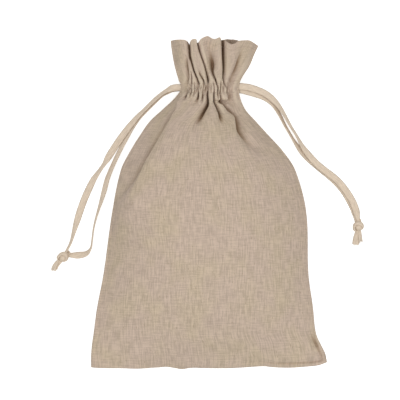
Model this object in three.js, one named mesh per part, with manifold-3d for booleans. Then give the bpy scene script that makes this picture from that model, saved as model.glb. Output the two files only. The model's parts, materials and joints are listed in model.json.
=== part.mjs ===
// A woven drawstring pouch that lies on its back, lightly puffed, with its neck drawn in.
// Two panels are sewn together along the sides and the bottom. Two pairs of flat tape leave the casing
// at the side seams, lie out on the surface and end in knots.
// Millimetres: X runs across the pouch, Y towards its mouth and Z up from the surface it lies on.
import * as THREE from 'three';
import { mergeVertices } from 'three/addons/utils/BufferGeometryUtils.js';
import Module from 'manifold-3d';

// Cloth
const CLOTH_THICKNESS = 1.5;
const SEAM_GAP = 0.3;
const SEAM_RIM = 3;
const MOUTH_Y = 139;
const CASING_Y = 98;
const FRONT_COLUMNS = 58;
const BACK_COLUMNS = 44;

// How the panels bulge between their seams
const DOME_POWER = 2.6;
const SIDE_SLOPE = 3;
const SIDE_BLEND = 3;
const SHOULDER_Y = 54;
const SHOULDER_START = -46;
const SHOULDER_FULL = 40;
const SHOULDER_FADE = 86;
const SHOULDER_END = 99;
const SHOULDER_POWER = 14;
const SHOULDER_FALL = 0.28;
const SHOULDER_FALL_POWER = 1.7;
const SHOULDER_BLEND = 0.6;
const HEADING_POWER = 3.5;
const HEADING_RISE_FROM = 100;
const HEADING_RISE_TO = 122;
const BELLY_FLAT = 0.62;
const NECK_FLAT = 0.15;
const BELLY_POWER = 1.7;
const FOLD_FADE = 5;
const FOLD_LIMIT = 0.7;
const FOLD_SPREAD = 0.08;
const MITRE_LIMIT = 0.8;
const SECTION_SAMPLES = 240;

// Slots in the side seams at the casing, where the tapes come out
const SLOT_HALF_LENGTH = 5.2;
const SLOT_END = 1.8;
const SLOT_LIFT = 1.35;

// Tapes and knots
const TAPE_WIDTH = 6;
const TAPE_THICKNESS = 1;
const TAPE_CHAMFER = 0.25;
const TAPE_STEPS = 48;
const TAIL_STEPS = 5;
const KNOT_WRAP_DEPTH = 0.1;
const KNOT_WRAP_WIDTH = 0.16;
const KNOT_SIDES = 20;
const KNOT_RINGS = 12;
const MERGE_DISTANCE = 1e-4;

const CLOTH = { color: 0xc1af9c, roughness: 0.95, metalness: 0 };
const TAPE = { color: 0xd6c5ac, roughness: 0.9, metalness: 0 };

// Cross sections from the bottom seam to the mouth: the two side seams, the front's highest point,
// the seams' height and the back's lowest point.
const SECTIONS = [
  { y: -141, left: -100.4, right: 101, crown: 4, seam: 2.5, belly: 1 },
  { y: -138, left: -100.4, right: 100.8, crown: 4, seam: 2.5, belly: 1 },
  { y: -131, left: -100.4, right: 99.8, crown: 11, seam: 3, belly: 0 },
  { y: -121, left: -99.6, right: 95.8, crown: 20, seam: 4.5, belly: 0 },
  { y: -110, left: -98, right: 91.6, crown: 28, seam: 6.5, belly: 0 },
  { y: -90, left: -95.3, right: 89.3, crown: 39, seam: 10, belly: 0 },
  { y: -60, left: -89.5, right: 85.2, crown: 49, seam: 14, belly: 0 },
  { y: -8, left: -82.4, right: 83.4, crown: 55, seam: 17.5, belly: 0 },
  { y: 28, left: -74.8, right: 74, crown: 52, seam: 18, belly: 0 },
  { y: 44, left: -67, right: 63.6, crown: 48.5, seam: 17.5, belly: 0 },
  { y: 59, left: -57.7, right: 50, crown: 43.5, seam: 16, belly: 0 },
  { y: 70, left: -49.8, right: 40, crown: 38.5, seam: 14.5, belly: 0.3 },
  { y: 80, left: -39, right: 31.2, crown: 33.5, seam: 13.4, belly: 0.8 },
  { y: 90, left: -28.6, right: 27, crown: 29.5, seam: 13, belly: 1.5 },
  { y: 98, left: -24.2, right: 26.6, crown: 27, seam: 13, belly: 2 },
  { y: 105, left: -25.5, right: 27.6, crown: 26.5, seam: 13, belly: 1.8 },
  { y: 118, left: -29, right: 34.4, crown: 27, seam: 12.5, belly: 1 },
  { y: 132, left: -31.5, right: 40, crown: 28, seam: 12, belly: 0.4 },
  { y: 139, left: -32.3, right: 42.2, crown: 28, seam: 12, belly: 0.2 },
];

// How far in from the left seam the front panel's shoulder is creased
const SHOULDER_RIDGE = [
  { y: -24, inset: 4 },
  { y: -6, inset: 4 },
  { y: 2.6, inset: 5 },
  { y: 11, inset: 9.4 },
  { y: 20, inset: 13.2 },
  { y: 28, inset: 15.2 },
  { y: 44, inset: 16.3 },
  { y: 59, inset: 15.9 },
  { y: 70, inset: 14.6 },
  { y: 80, inset: 10 },
  { y: 88, inset: 5.6 },
  { y: 96, inset: 4 },
];

// Rows of the panels' grids, closer together where the cloth is gathered
const GRID_Y = [
  -141, -138, -133, -126, -117, -103, -84, -62, -36, -8, 6, 18, 28, 40, 54, 66, 75,
  82, 87.5, 91, 93, 98, 103, 105, 109, 115, 122, 129, 135, MOUTH_Y,
];

// Folds that run out of the gathered neck. Each place is a share of the panel's width, from the left seam,
// at the mouth, in the casing and where the fold dies out, which is reach below the casing. A fold with a
// swell is deeper by that much half-way down.
const FRONT_FOLDS = [
  { mouth: 0.18, casing: 0.127, end: 0.11, mouthDepth: 0, casingDepth: 3.6, reach: 12, width: 1.7 },
  { mouth: 0.22, casing: 0.198, end: 0.18, mouthDepth: 0, casingDepth: 2.6, reach: 8, width: 1.5 },
  { mouth: 0.26, casing: 0.265, end: 0.26, mouthDepth: 0, casingDepth: 2.2, reach: 8, width: 1.5 },
  { mouth: 0.193, casing: 0.333, end: 0.33, mouthDepth: 7, casingDepth: 4, reach: 12, width: 1.8 },
  { mouth: 0.36, casing: 0.41, end: 0.4, mouthDepth: 0, casingDepth: 2.6, reach: 18, width: 1.6 },
  {
    mouth: 0.316, casing: 0.486, end: 0.45,
    mouthDepth: 5, casingDepth: 4.4, reach: 40, width: 1.7, swell: 3,
  },
  {
    mouth: 0.5, casing: 0.592, end: 0.64,
    mouthDepth: 0, casingDepth: 4, reach: 36, width: 1.7, swell: 3,
  },
  { mouth: 0.462, casing: 0.654, end: 0.66, mouthDepth: 3, casingDepth: 2.6, reach: 8, width: 2 },
  {
    mouth: 0.66, casing: 0.737, end: 0.91,
    mouthDepth: 0, casingDepth: 3.2, reach: 54, width: 1.8, swell: 4.5,
  },
  { mouth: 0.596, casing: 0.804, end: 0.82, mouthDepth: 9, casingDepth: 3.2, reach: 10, width: 1.8 },
  { mouth: 0.813, casing: 0.892, end: 0.9, mouthDepth: 4, casingDepth: 3, reach: 10, width: 2.4 },
];
const BACK_FOLDS = [
  { mouth: 0.17, casing: 0.16, end: 0.14, mouthDepth: 2, casingDepth: 3, reach: 18, width: 1.9 },
  { mouth: 0.28, casing: 0.27, end: 0.25, mouthDepth: 4, casingDepth: 3.6, reach: 30, width: 1.9 },
  { mouth: 0.4, casing: 0.38, end: 0.4, mouthDepth: 0, casingDepth: 3, reach: 16, width: 1.8 },
  { mouth: 0.47, casing: 0.49, end: 0.47, mouthDepth: 5, casingDepth: 3.8, reach: 36, width: 2 },
  { mouth: 0.6, casing: 0.6, end: 0.62, mouthDepth: 0, casingDepth: 3.2, reach: 18, width: 1.8 },
  { mouth: 0.69, casing: 0.71, end: 0.72, mouthDepth: 4, casingDepth: 3.6, reach: 32, width: 1.9 },
  { mouth: 0.83, casing: 0.83, end: 0.86, mouthDepth: 2, casingDepth: 3, reach: 16, width: 1.9 },
];

// How far each panel's mouth edge and bottom edge stand from a straight line, by share of the width
const FRONT_MOUTH = [
  { share: 0, lift: -0.5 },
  { share: 0.1, lift: 0.6 },
  { share: 0.193, lift: -3.6 },
  { share: 0.255, lift: 0.4 },
  { share: 0.316, lift: -2.4 },
  { share: 0.43, lift: 2 },
  { share: 0.5, lift: 0.8 },
  { share: 0.57, lift: 1.4 },
  { share: 0.68, lift: -3.2 },
  { share: 0.78, lift: -2.4 },
  { share: 0.9, lift: -0.9 },
  { share: 1, lift: -4.8 },
];
const BACK_MOUTH = [
  { share: 0, lift: -1 },
  { share: 0.3, lift: -0.6 },
  { share: 0.6, lift: 0.4 },
  { share: 0.85, lift: 0 },
  { share: 1, lift: -5 },
];
const BOTTOM_EDGE = [
  { share: 0, lift: 0.9 },
  { share: 0.2, lift: 0.8 },
  { share: 0.34, lift: 0.1 },
  { share: 0.5, lift: 0 },
  { share: 0.66, lift: 0.1 },
  { share: 0.74, lift: 0.8 },
  { share: 0.857, lift: 1 },
  { share: 0.907, lift: 2 },
  { share: 0.972, lift: 3.8 },
  { share: 1, lift: 5.4 },
];
const BOTTOM_EDGE_REACH = 24;

// Centrelines of the tapes: place, height and roll, where a roll of 0 lies flat and 90 stands on edge
const TAPE_ROUTES = {
  left_tape_outer: [
    { x: -20, y: 98.4, z: 13.68, roll: 0 },
    { x: -25, y: 98.4, z: 13.68, roll: 0 },
    { x: -27.5, y: 98.4, z: 13.75, roll: 0 },
    { x: -31.8, y: 97.8, z: 13.6, roll: 28 },
    { x: -35.2, y: 96.2, z: 12.6, roll: 50 },
    { x: -39.8, y: 93.3, z: 11.1, roll: 58 },
    { x: -45.2, y: 88.9, z: 9, roll: 56 },
    { x: -49.2, y: 85.1, z: 7.4, roll: 56 },
    { x: -53, y: 81.3, z: 6, roll: 56 },
    { x: -56.6, y: 77.8, z: 5, roll: 54 },
    { x: -60.2, y: 74.2, z: 4.3, roll: 48 },
    { x: -67.6, y: 65.4, z: 3.2, roll: 28 },
    { x: -73.6, y: 57.4, z: 2.8, roll: 16 },
    { x: -77.8, y: 51.4, z: 2.6, roll: 10 },
    { x: -84.8, y: 40.4, z: 2.5, roll: 10 },
    { x: -89.2, y: 33.2, z: 3, roll: 52 },
    { x: -93.6, y: 27, z: 3, roll: 52 },
    { x: -98.4, y: 19.8, z: 2.4, roll: 30 },
    { x: -102.6, y: 11.3, z: 1.4, roll: 10 },
    { x: -106, y: 3.5, z: 0.8, roll: 0 },
    { x: -109.5, y: -6, z: 0.7, roll: 0 },
    { x: -112.3, y: -15, z: 1.9, roll: 24 },
    { x: -114.9, y: -24, z: 2.9, roll: 50 },
    { x: -117.4, y: -33, z: 3.3, roll: 66 },
    { x: -120.9, y: -40.9, z: 3.4, roll: 66 },
  ],
  left_tape_inner: [
    { x: -20, y: 98.2, z: 12.35, roll: 0 },
    { x: -25, y: 98.2, z: 12.33, roll: 0 },
    { x: -27.5, y: 98.1, z: 11.95, roll: 0 },
    { x: -31.7, y: 97, z: 10.8, roll: 28 },
    { x: -34.5, y: 94.9, z: 10.5, roll: 50 },
    { x: -39, y: 92.3, z: 9.7, roll: 58 },
    { x: -44.2, y: 87.9, z: 7.9, roll: 56 },
    { x: -48.2, y: 84.1, z: 6.3, roll: 56 },
    { x: -52, y: 80.3, z: 5, roll: 56 },
    { x: -55.6, y: 76.8, z: 3.9, roll: 54 },
    { x: -59.2, y: 73.3, z: 3.2, roll: 48 },
    { x: -65.6, y: 65, z: 2.5, roll: 34 },
    { x: -70.2, y: 56.2, z: 2.5, roll: 40 },
    { x: -73.4, y: 49.6, z: 2.9, roll: 50 },
    { x: -76.4, y: 43.6, z: 2.9, roll: 50 },
    { x: -78.9, y: 38.4, z: 2.9, roll: 50 },
    { x: -81.6, y: 32.6, z: 2.9, roll: 50 },
    { x: -84, y: 27, z: 2.9, roll: 48 },
    { x: -86.8, y: 19.6, z: 2.8, roll: 44 },
    { x: -89, y: 11, z: 2.7, roll: 42 },
    { x: -91.4, y: 2.6, z: 2.9, roll: 54 },
    { x: -94, y: -6, z: 3.1, roll: 68 },
    { x: -96.5, y: -14.5, z: 3.2, roll: 76 },
    { x: -98.3, y: -23, z: 3.2, roll: 80 },
    { x: -99.4, y: -32, z: 3.2, roll: 80 },
    { x: -100.6, y: -38.8, z: 3.2, roll: 74 },
    { x: -104.4, y: -43.2, z: 2.5, roll: 42 },
    { x: -111, y: -44.6, z: 1.8, roll: 14 },
    { x: -118.5, y: -44.7, z: 1.9, roll: 0 },
  ],
  right_tape_outer: [
    { x: 22, y: 99.3, z: 13.68, roll: 0 },
    { x: 28, y: 99.3, z: 13.68, roll: 0 },
    { x: 34.5, y: 98.5, z: 13.2, roll: 0 },
    { x: 41, y: 96.6, z: 11.9, roll: -4 },
    { x: 47.5, y: 93.8, z: 10.2, roll: -10 },
    { x: 53, y: 90.2, z: 8.5, roll: -22 },
    { x: 57.8, y: 85.6, z: 6.9, roll: -38 },
    { x: 61.5, y: 80.8, z: 5.8, roll: -50 },
    { x: 64.6, y: 75.8, z: 4.8, roll: -58 },
    { x: 67.5, y: 70.4, z: 4, roll: -62 },
    { x: 70.6, y: 64.8, z: 3.4, roll: -66 },
    { x: 74.2, y: 59.2, z: 3.3, roll: -68 },
    { x: 77.4, y: 53.6, z: 3.3, roll: -62 },
    { x: 80.8, y: 47.6, z: 3.3, roll: -46 },
    { x: 84.7, y: 42.4, z: 3.1, roll: -30 },
    { x: 88.8, y: 37.4, z: 2.9, roll: -18 },
    { x: 92.8, y: 33.2, z: 2.5, roll: -8 },
    { x: 98.4, y: 28.5, z: 2.1, roll: -2 },
    { x: 104.6, y: 23.8, z: 2, roll: 0 },
    { x: 110.7, y: 18.6, z: 2, roll: 0 },
    { x: 116.6, y: 11.6, z: 2, roll: 0 },
    { x: 121.4, y: 4.4, z: 2.2, roll: 0 },
    { x: 124.6, y: -2.2, z: 2.8, roll: 0 },
    { x: 126.6, y: -8.4, z: 3.5, roll: 0 },
    { x: 127.6, y: -13.9, z: 3.9, roll: 0 },
  ],
  right_tape_inner: [
    { x: 22, y: 96.8, z: 12.4, roll: 0 },
    { x: 28, y: 96.4, z: 12.4, roll: 0 },
    { x: 34.5, y: 94.8, z: 11.7, roll: 0 },
    { x: 41, y: 92.9, z: 10.3, roll: -4 },
    { x: 47, y: 90.8, z: 8.6, roll: -10 },
    { x: 52, y: 87.8, z: 6.8, roll: -22 },
    { x: 55.4, y: 84.4, z: 5.6, roll: -38 },
    { x: 58, y: 80.4, z: 4.6, roll: -50 },
    { x: 60.6, y: 75.8, z: 3.8, roll: -58 },
    { x: 63, y: 71, z: 3.3, roll: -62 },
    { x: 65.9, y: 65.2, z: 3.2, roll: -66 },
    { x: 69.2, y: 59.6, z: 3.2, roll: -68 },
    { x: 72.6, y: 53.8, z: 3.2, roll: -64 },
    { x: 76.2, y: 48.4, z: 3, roll: -50 },
    { x: 80.2, y: 43.4, z: 2.3, roll: -32 },
    { x: 85, y: 38.6, z: 1.5, roll: -16 },
    { x: 91, y: 33.4, z: 0.9, roll: -4 },
    { x: 96.5, y: 28.8, z: 0.65, roll: 0 },
    { x: 101.8, y: 24.5, z: 0.6, roll: 0 },
    { x: 107.2, y: 19.8, z: 0.6, roll: 0 },
    { x: 112.4, y: 14.4, z: 0.6, roll: 0 },
    { x: 117, y: 8.4, z: 0.6, roll: 0 },
    { x: 121, y: 1.4, z: 0.8, roll: 0 },
    { x: 124.2, y: -5.2, z: 1.5, roll: 0 },
    { x: 125.6, y: -9.8, z: 2.1, roll: 0 },
    { x: 126.4, y: -14.3, z: 2.5, roll: 0 },
  ],
};

// Knots: the lump's centre, the bearing of its axis, its half sizes along that axis, aside and up,
// the planes its wraps lie between, and the routes of its two tails
const KNOTS = {
  left_knot: {
    centre: { x: -123.8, y: -46, z: 3.7 },
    bearing: -136,
    halfSize: { along: 5.8, aside: 3.8, up: 3.5 },
    wraps: [
      { along: 0.9, aside: 0.25, up: 0.2, offset: 0.3 },
      { along: 0.75, aside: -0.6, up: 0.3, offset: -0.28 },
    ],
    tails: [
      [
        { x: -125, y: -47.2, z: 3.2, roll: 40 },
        { x: -128.8, y: -50.2, z: 2.9, roll: 48 },
        { x: -131.4, y: -53.6, z: 2.7, roll: 48 },
        { x: -132.6, y: -57.4, z: 2.6, roll: 46 },
      ],
      [
        { x: -124, y: -47.4, z: 2.6, roll: 30 },
        { x: -127.4, y: -50.8, z: 2.4, roll: 40 },
        { x: -129.8, y: -53.6, z: 2.5, roll: 46 },
        { x: -131, y: -56.4, z: 2.6, roll: 48 },
      ],
    ],
  },
  right_knot: {
    centre: { x: 128.2, y: -19.6, z: 3.6 },
    bearing: -93,
    halfSize: { along: 5, aside: 4.2, up: 3.4 },
    wraps: [
      { along: 0.85, aside: -0.4, up: 0.25, offset: 0.3 },
      { along: 0.9, aside: 0.35, up: 0.2, offset: -0.3 },
    ],
    tails: [
      [
        { x: 127.8, y: -20.4, z: 3.4, roll: 30 },
        { x: 127, y: -25.4, z: 3, roll: 30 },
        { x: 126.3, y: -30.5, z: 2.2, roll: 14 },
        { x: 125.8, y: -35.4, z: 1.5, roll: 4 },
      ],
      [
        { x: 128.4, y: -20.4, z: 2.4, roll: -30 },
        { x: 129, y: -25, z: 2.6, roll: -46 },
        { x: 129.7, y: -29, z: 2.9, roll: -58 },
        { x: 130.2, y: -32.8, z: 2.9, roll: -58 },
      ],
    ],
  },
};

const { clamp, lerp, smoothstep, degToRad } = THREE.MathUtils;

// A smooth curve through one column of a table, by the column that runs along it
function trackOf(table, along, column) {
  const at = table.map((row) => row[along]);
  const value = table.map((row) => row[column]);
  const last = table.length - 1;
  const slope = value.map((_, i) => {
    const before = Math.max(i - 1, 0);
    const after = Math.min(i + 1, last);
    return (value[after] - value[before]) / (at[after] - at[before]);
  });
  return (t) => {
    const next = at.findIndex((place) => place > t);
    const i = next < 0 ? last - 1 : Math.max(next - 1, 0);
    const span = at[i + 1] - at[i];
    const q = clamp((t - at[i]) / span, 0, 1);
    const a = value[i];
    const b = value[i + 1];
    const c = slope[i] * span;
    const d = slope[i + 1] * span;
    return a + q * (c + q * (3 * (b - a) - 2 * c - d + q * (2 * (a - b) + c + d)));
  };
}

function smoothMin(a, b, blend) {
  const near = Math.max(blend - Math.abs(a - b), 0) / blend;
  return Math.min(a, b) - near * near * blend / 4;
}

const sectionTracks = Object.fromEntries(
  ['left', 'right', 'crown', 'seam', 'belly'].map((column) => [column, trackOf(SECTIONS, 'y', column)]),
);
const shoulderRidge = trackOf(SHOULDER_RIDGE, 'y', 'inset');
const frontMouth = trackOf(FRONT_MOUTH, 'share', 'lift');
const backMouth = trackOf(BACK_MOUTH, 'share', 'lift');
const bottomEdge = trackOf(BOTTOM_EDGE, 'share', 'lift');

// The seam slots are open over the tapes and closed beyond them
function slotLift(y) {
  const past = Math.abs(y - CASING_Y) - SLOT_HALF_LENGTH;
  return SLOT_LIFT * (1 - smoothstep(past, 0, SLOT_END));
}

// The unfolded cross section of a panel at y, as the height of its outer face over a share across it
function panelProfile(isFront, y) {
  const at = (column) => sectionTracks[column](y);
  const width = at('right') - at('left');
  const opening = SEAM_GAP / 2 + slotLift(y) + CLOTH_THICKNESS;
  const risen = smoothstep(y, SHOULDER_START, SHOULDER_FULL);
  const shoulder = risen * (1 - smoothstep(y, SHOULDER_FADE, SHOULDER_END));
  const heading = HEADING_POWER * smoothstep(y, HEADING_RISE_FROM, HEADING_RISE_TO);
  const ridge = shoulderRidge(y) - SEAM_RIM;
  const ridgeOut = 1 - 2 * ridge / (width - 2 * SEAM_RIM);
  const flat = lerp(BELLY_FLAT, NECK_FLAT, smoothstep(y, SHOULDER_Y, CASING_Y));
  return (share) => {
    const x = at('left') + width * share;
    const inside = Math.min(x - at('left'), at('right') - x) - SEAM_RIM;
    const out = Math.abs(2 * share - 1) * width / (width - 2 * SEAM_RIM);
    const fromMiddle = Math.min(out, 1);
    if (!isFront) {
      const edge = at('seam') - opening;
      const belly = clamp(at('belly'), 0, edge);
      const turn = Math.max(fromMiddle - flat, 0) / (1 - flat);
      return { x, z: lerp(belly, edge, turn ** BELLY_POWER), rise: edge - belly };
    }
    const edge = at('seam') + opening;
    const onLeft = share < 0.5;
    const square = onLeft ? shoulder : 0;
    const power = DOME_POWER + SHOULDER_POWER * square + heading;
    const fallAt = (away) => SHOULDER_FALL * square * (away ** SHOULDER_FALL_POWER - away ** power);
    const domeAt = (away) => (at('crown') - edge) * (1 - away ** power - fallAt(away));
    const slope = onLeft ? Math.min(domeAt(ridgeOut) / ridge, SIDE_SLOPE) : SIDE_SLOPE;
    const blend = lerp(SIDE_BLEND, SHOULDER_BLEND, square);
    const rise = Math.max(smoothMin(domeAt(fromMiddle), slope * inside, blend), 0);
    return { x, z: edge + rise, rise };
  };
}

// Points along the unfolded section, with the seam rims as the first and last columns
function spacedSection(isFront, y, columns) {
  const profile = panelProfile(isFront, y);
  const points = Array.from({ length: SECTION_SAMPLES + 1 }, (_, i) => profile(i / SECTION_SAMPLES));
  const along = [0];
  for (let i = 1; i <= SECTION_SAMPLES; i += 1) {
    along.push(along[i - 1] + Math.hypot(points[i].x - points[i - 1].x, points[i].z - points[i - 1].z));
  }
  const length = along[SECTION_SAMPLES];
  const places = [0];
  for (let i = 0; i <= columns - 2; i += 1) {
    places.push(lerp(SEAM_RIM, length - SEAM_RIM, i / (columns - 2)));
  }
  places.push(length);
  const section = places.map((place) => {
    const next = clamp(along.findIndex((passed) => passed >= place), 1, SECTION_SAMPLES);
    const part = (place - along[next - 1]) / (along[next] - along[next - 1]);
    const from = points[next - 1];
    const to = points[next];
    const between = (column) => lerp(from[column], to[column], part);
    return { place, x: between('x'), z: between('z'), rise: between('rise') };
  });
  return { section, length };
}

// How deep the folds press the panel in at a place along the section
function foldDepth(folds, y, place, length) {
  const up = clamp((y - CASING_Y) / (MOUTH_Y - CASING_Y), 0, 1);
  let depth = 0;
  for (const fold of folds) {
    const down = clamp((CASING_Y - y) / fold.reach, 0, 1);
    const inHeading = y > CASING_Y;
    const share = inHeading ? lerp(fold.casing, fold.mouth, up) : lerp(fold.casing, fold.end, down);
    const headingDepth = lerp(fold.casingDepth, fold.mouthDepth, up);
    const swell = (fold.swell ?? 0) * 4 * down * (1 - down);
    const deep = inHeading ? headingDepth : fold.casingDepth * (1 - down * down) + swell;
    const width = fold.width + FOLD_SPREAD * Math.abs(y - CASING_Y);
    const off = (place - share * length) / width;
    depth += deep * Math.exp(-off * off);
  }
  return depth * smoothstep(Math.min(place, length - place), SEAM_RIM, SEAM_RIM + FOLD_FADE);
}

// Outward normals of a section's segments, for the side of the section that faces away from the pouch
function segmentNormals(points, outward) {
  return points.slice(1).map((point, i) => {
    const normal = new THREE.Vector2(points[i].z - point.z, point.x - points[i].x);
    return normal.multiplyScalar(outward / normal.length());
  });
}

// Moves a section inwards by a depth for each point, with mitred corners
function insetSection(points, outward, depthAt) {
  const normals = segmentNormals(points, outward);
  return points.map((point, i) => {
    const before = normals[Math.max(i - 1, 0)];
    const after = normals[Math.min(i, normals.length - 1)];
    const scale = depthAt(point) / Math.max(1 + before.dot(after), MITRE_LIMIT);
    const x = point.x - (before.x + after.x) * scale;
    const z = point.z - (before.y + after.y) * scale;
    return { ...point, x, z };
  });
}

// One row of a panel: its outer and inner points
function panelRow(isFront, folds, columns, y) {
  const outward = isFront ? 1 : -1;
  const mouth = isFront ? frontMouth : backMouth;
  const { section, length } = spacedSection(isFront, y, columns);
  const outer = insetSection(section, outward, (point) => (
    Math.min(foldDepth(folds, y, point.place, length), FOLD_LIMIT * point.rise)
  ));
  const inner = insetSection(outer, outward, () => CLOTH_THICKNESS);
  const towardsMouth = smoothstep(y, CASING_Y, MOUTH_Y);
  const towardsBottom = clamp((GRID_Y[0] + BOTTOM_EDGE_REACH - y) / BOTTOM_EDGE_REACH, 0, 1);
  const lifted = (point) => {
    const share = point.place / length;
    return y + mouth(share) * towardsMouth + bottomEdge(share) * towardsBottom;
  };
  const inSpace = (point) => new THREE.Vector3(point.x, lifted(point), point.z);
  return { outer: outer.map(inSpace), inner: inner.map(inSpace) };
}

// A closed sheet between two grids of points with the same rows and columns
function sheetGeometry(top, bottom) {
  const rows = top.length;
  const columns = top[0].length;
  const end = columns - 1;
  const points = [...top.flat(), ...bottom.flat()];
  const upper = (r, c) => r * columns + c;
  const lower = (r, c) => rows * columns + upper(r, c);
  const index = [];
  const quad = (a, b, c, d) => index.push(a, b, c, a, c, d);
  for (let r = 0; r < rows - 1; r += 1) {
    for (let c = 0; c < columns - 1; c += 1) {
      quad(upper(r, c), upper(r, c + 1), upper(r + 1, c + 1), upper(r + 1, c));
      quad(lower(r, c), lower(r + 1, c), lower(r + 1, c + 1), lower(r, c + 1));
    }
    quad(upper(r, 0), upper(r + 1, 0), lower(r + 1, 0), lower(r, 0));
    quad(upper(r + 1, end), upper(r, end), lower(r, end), lower(r + 1, end));
  }
  for (let c = 0; c < columns - 1; c += 1) {
    quad(upper(0, c + 1), upper(0, c), lower(0, c), lower(0, c + 1));
    quad(upper(rows - 1, c), upper(rows - 1, c + 1), lower(rows - 1, c + 1), lower(rows - 1, c));
  }
  const geometry = new THREE.BufferGeometry().setFromPoints(points);
  geometry.setIndex(index);
  geometry.computeVertexNormals();
  return geometry;
}

function panelGeometry(isFront, folds, columns) {
  const rows = GRID_Y.map((y) => panelRow(isFront, folds, columns, y));
  const outer = rows.map((row) => row.outer);
  const inner = rows.map((row) => row.inner);
  return isFront ? sheetGeometry(outer, inner) : sheetGeometry(inner, outer);
}

// A tape's centreline, whose frames keep its width level and then turn it by the route's roll
class TapeRoute extends THREE.CatmullRomCurve3 {
  constructor(route) {
    super(route.map((row) => new THREE.Vector3(row.x, row.y, row.z)));
    this.rolls = route.map((row) => degToRad(row.roll));
  }

  rollAt(u) {
    const place = this.getUtoTmapping(u) * (this.rolls.length - 1);
    const i = Math.min(Math.floor(place), this.rolls.length - 2);
    return lerp(this.rolls[i], this.rolls[i + 1], place - i);
  }

  computeFrenetFrames(segments) {
    const up = new THREE.Vector3(0, 0, 1);
    const frames = { tangents: [], normals: [], binormals: [] };
    for (let i = 0; i <= segments; i += 1) {
      const u = i / segments;
      const tangent = this.getTangentAt(u);
      const normal = new THREE.Vector3().crossVectors(up, tangent).normalize();
      normal.applyAxisAngle(tangent, this.rollAt(u));
      frames.tangents.push(tangent);
      frames.normals.push(normal);
      frames.binormals.push(new THREE.Vector3().crossVectors(tangent, normal));
    }
    return frames;
  }
}

function tapeSection() {
  const w = TAPE_WIDTH / 2;
  const t = TAPE_THICKNESS / 2;
  const c = TAPE_CHAMFER;
  return new THREE.Shape([
    new THREE.Vector2(w - c, -t),
    new THREE.Vector2(w, -t + c),
    new THREE.Vector2(w, t - c),
    new THREE.Vector2(w - c, t),
    new THREE.Vector2(c - w, t),
    new THREE.Vector2(-w, t - c),
    new THREE.Vector2(-w, c - t),
    new THREE.Vector2(c - w, -t),
  ]);
}

function tapeGeometry(route, steps) {
  const extrudePath = new TapeRoute(route);
  return new THREE.ExtrudeGeometry(tapeSection(), { steps, extrudePath, bevelEnabled: false });
}

// The knot's lump, pressed in along the edges of its wraps
function lumpGeometry({ centre, bearing, halfSize, wraps }) {
  const geometry = new THREE.SphereGeometry(1, KNOT_SIDES, KNOT_RINGS);
  const position = geometry.attributes.position;
  const point = new THREE.Vector3();
  const size = new THREE.Vector3(halfSize.along, halfSize.aside, halfSize.up);
  const upward = new THREE.Vector3(0, 0, 1);
  const planes = wraps.map(({ along, aside, up, offset }) => {
    const normal = new THREE.Vector3(along, aside, up).normalize();
    return { normal, offset };
  });
  for (let i = 0; i < position.count; i += 1) {
    point.fromBufferAttribute(position, i).normalize();
    let press = 0;
    for (const plane of planes) {
      const off = (point.dot(plane.normal) - plane.offset) / KNOT_WRAP_WIDTH;
      press += KNOT_WRAP_DEPTH * Math.exp(-off * off);
    }
    point.multiplyScalar(1 - press).multiply(size).applyAxisAngle(upward, degToRad(bearing));
    point.add(new THREE.Vector3(centre.x, centre.y, centre.z));
    position.setXYZ(i, point.x, point.y, point.z);
  }
  return geometry;
}

const manifold = await Module();
manifold.setup();

function solidOf(geometry) {
  const bare = geometry.clone();
  bare.deleteAttribute('normal');
  bare.deleteAttribute('uv');
  const merged = mergeVertices(bare, MERGE_DISTANCE);
  return new manifold.Manifold(new manifold.Mesh({
    numProp: 3,
    vertProperties: new Float32Array(merged.attributes.position.array),
    triVerts: new Uint32Array(merged.index.array),
  }));
}

function geometryOf(solid) {
  const mesh = solid.getMesh();
  const geometry = new THREE.BufferGeometry();
  geometry.setAttribute('position', new THREE.BufferAttribute(mesh.vertProperties, 3));
  geometry.setIndex(new THREE.BufferAttribute(mesh.triVerts, 1));
  geometry.computeVertexNormals();
  return geometry;
}

// A knot is its lump joined to its two tails
function knotGeometry(knot) {
  const tails = knot.tails.map((route) => solidOf(tapeGeometry(route, TAIL_STEPS)));
  return geometryOf(tails.reduce((joined, tail) => joined.add(tail), solidOf(lumpGeometry(knot))));
}

const pouch = new THREE.Group();

function addPiece(name, geometry, finish) {
  const piece = new THREE.Mesh(geometry, new THREE.MeshStandardMaterial(finish));
  piece.name = name;
  pouch.add(piece);
}

addPiece('front_panel', panelGeometry(true, FRONT_FOLDS, FRONT_COLUMNS), CLOTH);
addPiece('back_panel', panelGeometry(false, BACK_FOLDS, BACK_COLUMNS), CLOTH);
for (const [name, route] of Object.entries(TAPE_ROUTES)) {
  addPiece(name, tapeGeometry(route, TAPE_STEPS), TAPE);
}
for (const [name, knot] of Object.entries(KNOTS)) {
  addPiece(name, knotGeometry(knot), TAPE);
}

export default pouch;
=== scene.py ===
"""A woven drawstring pouch that lies on its back, its neck drawn in by two pairs of flat tape."""

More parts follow.
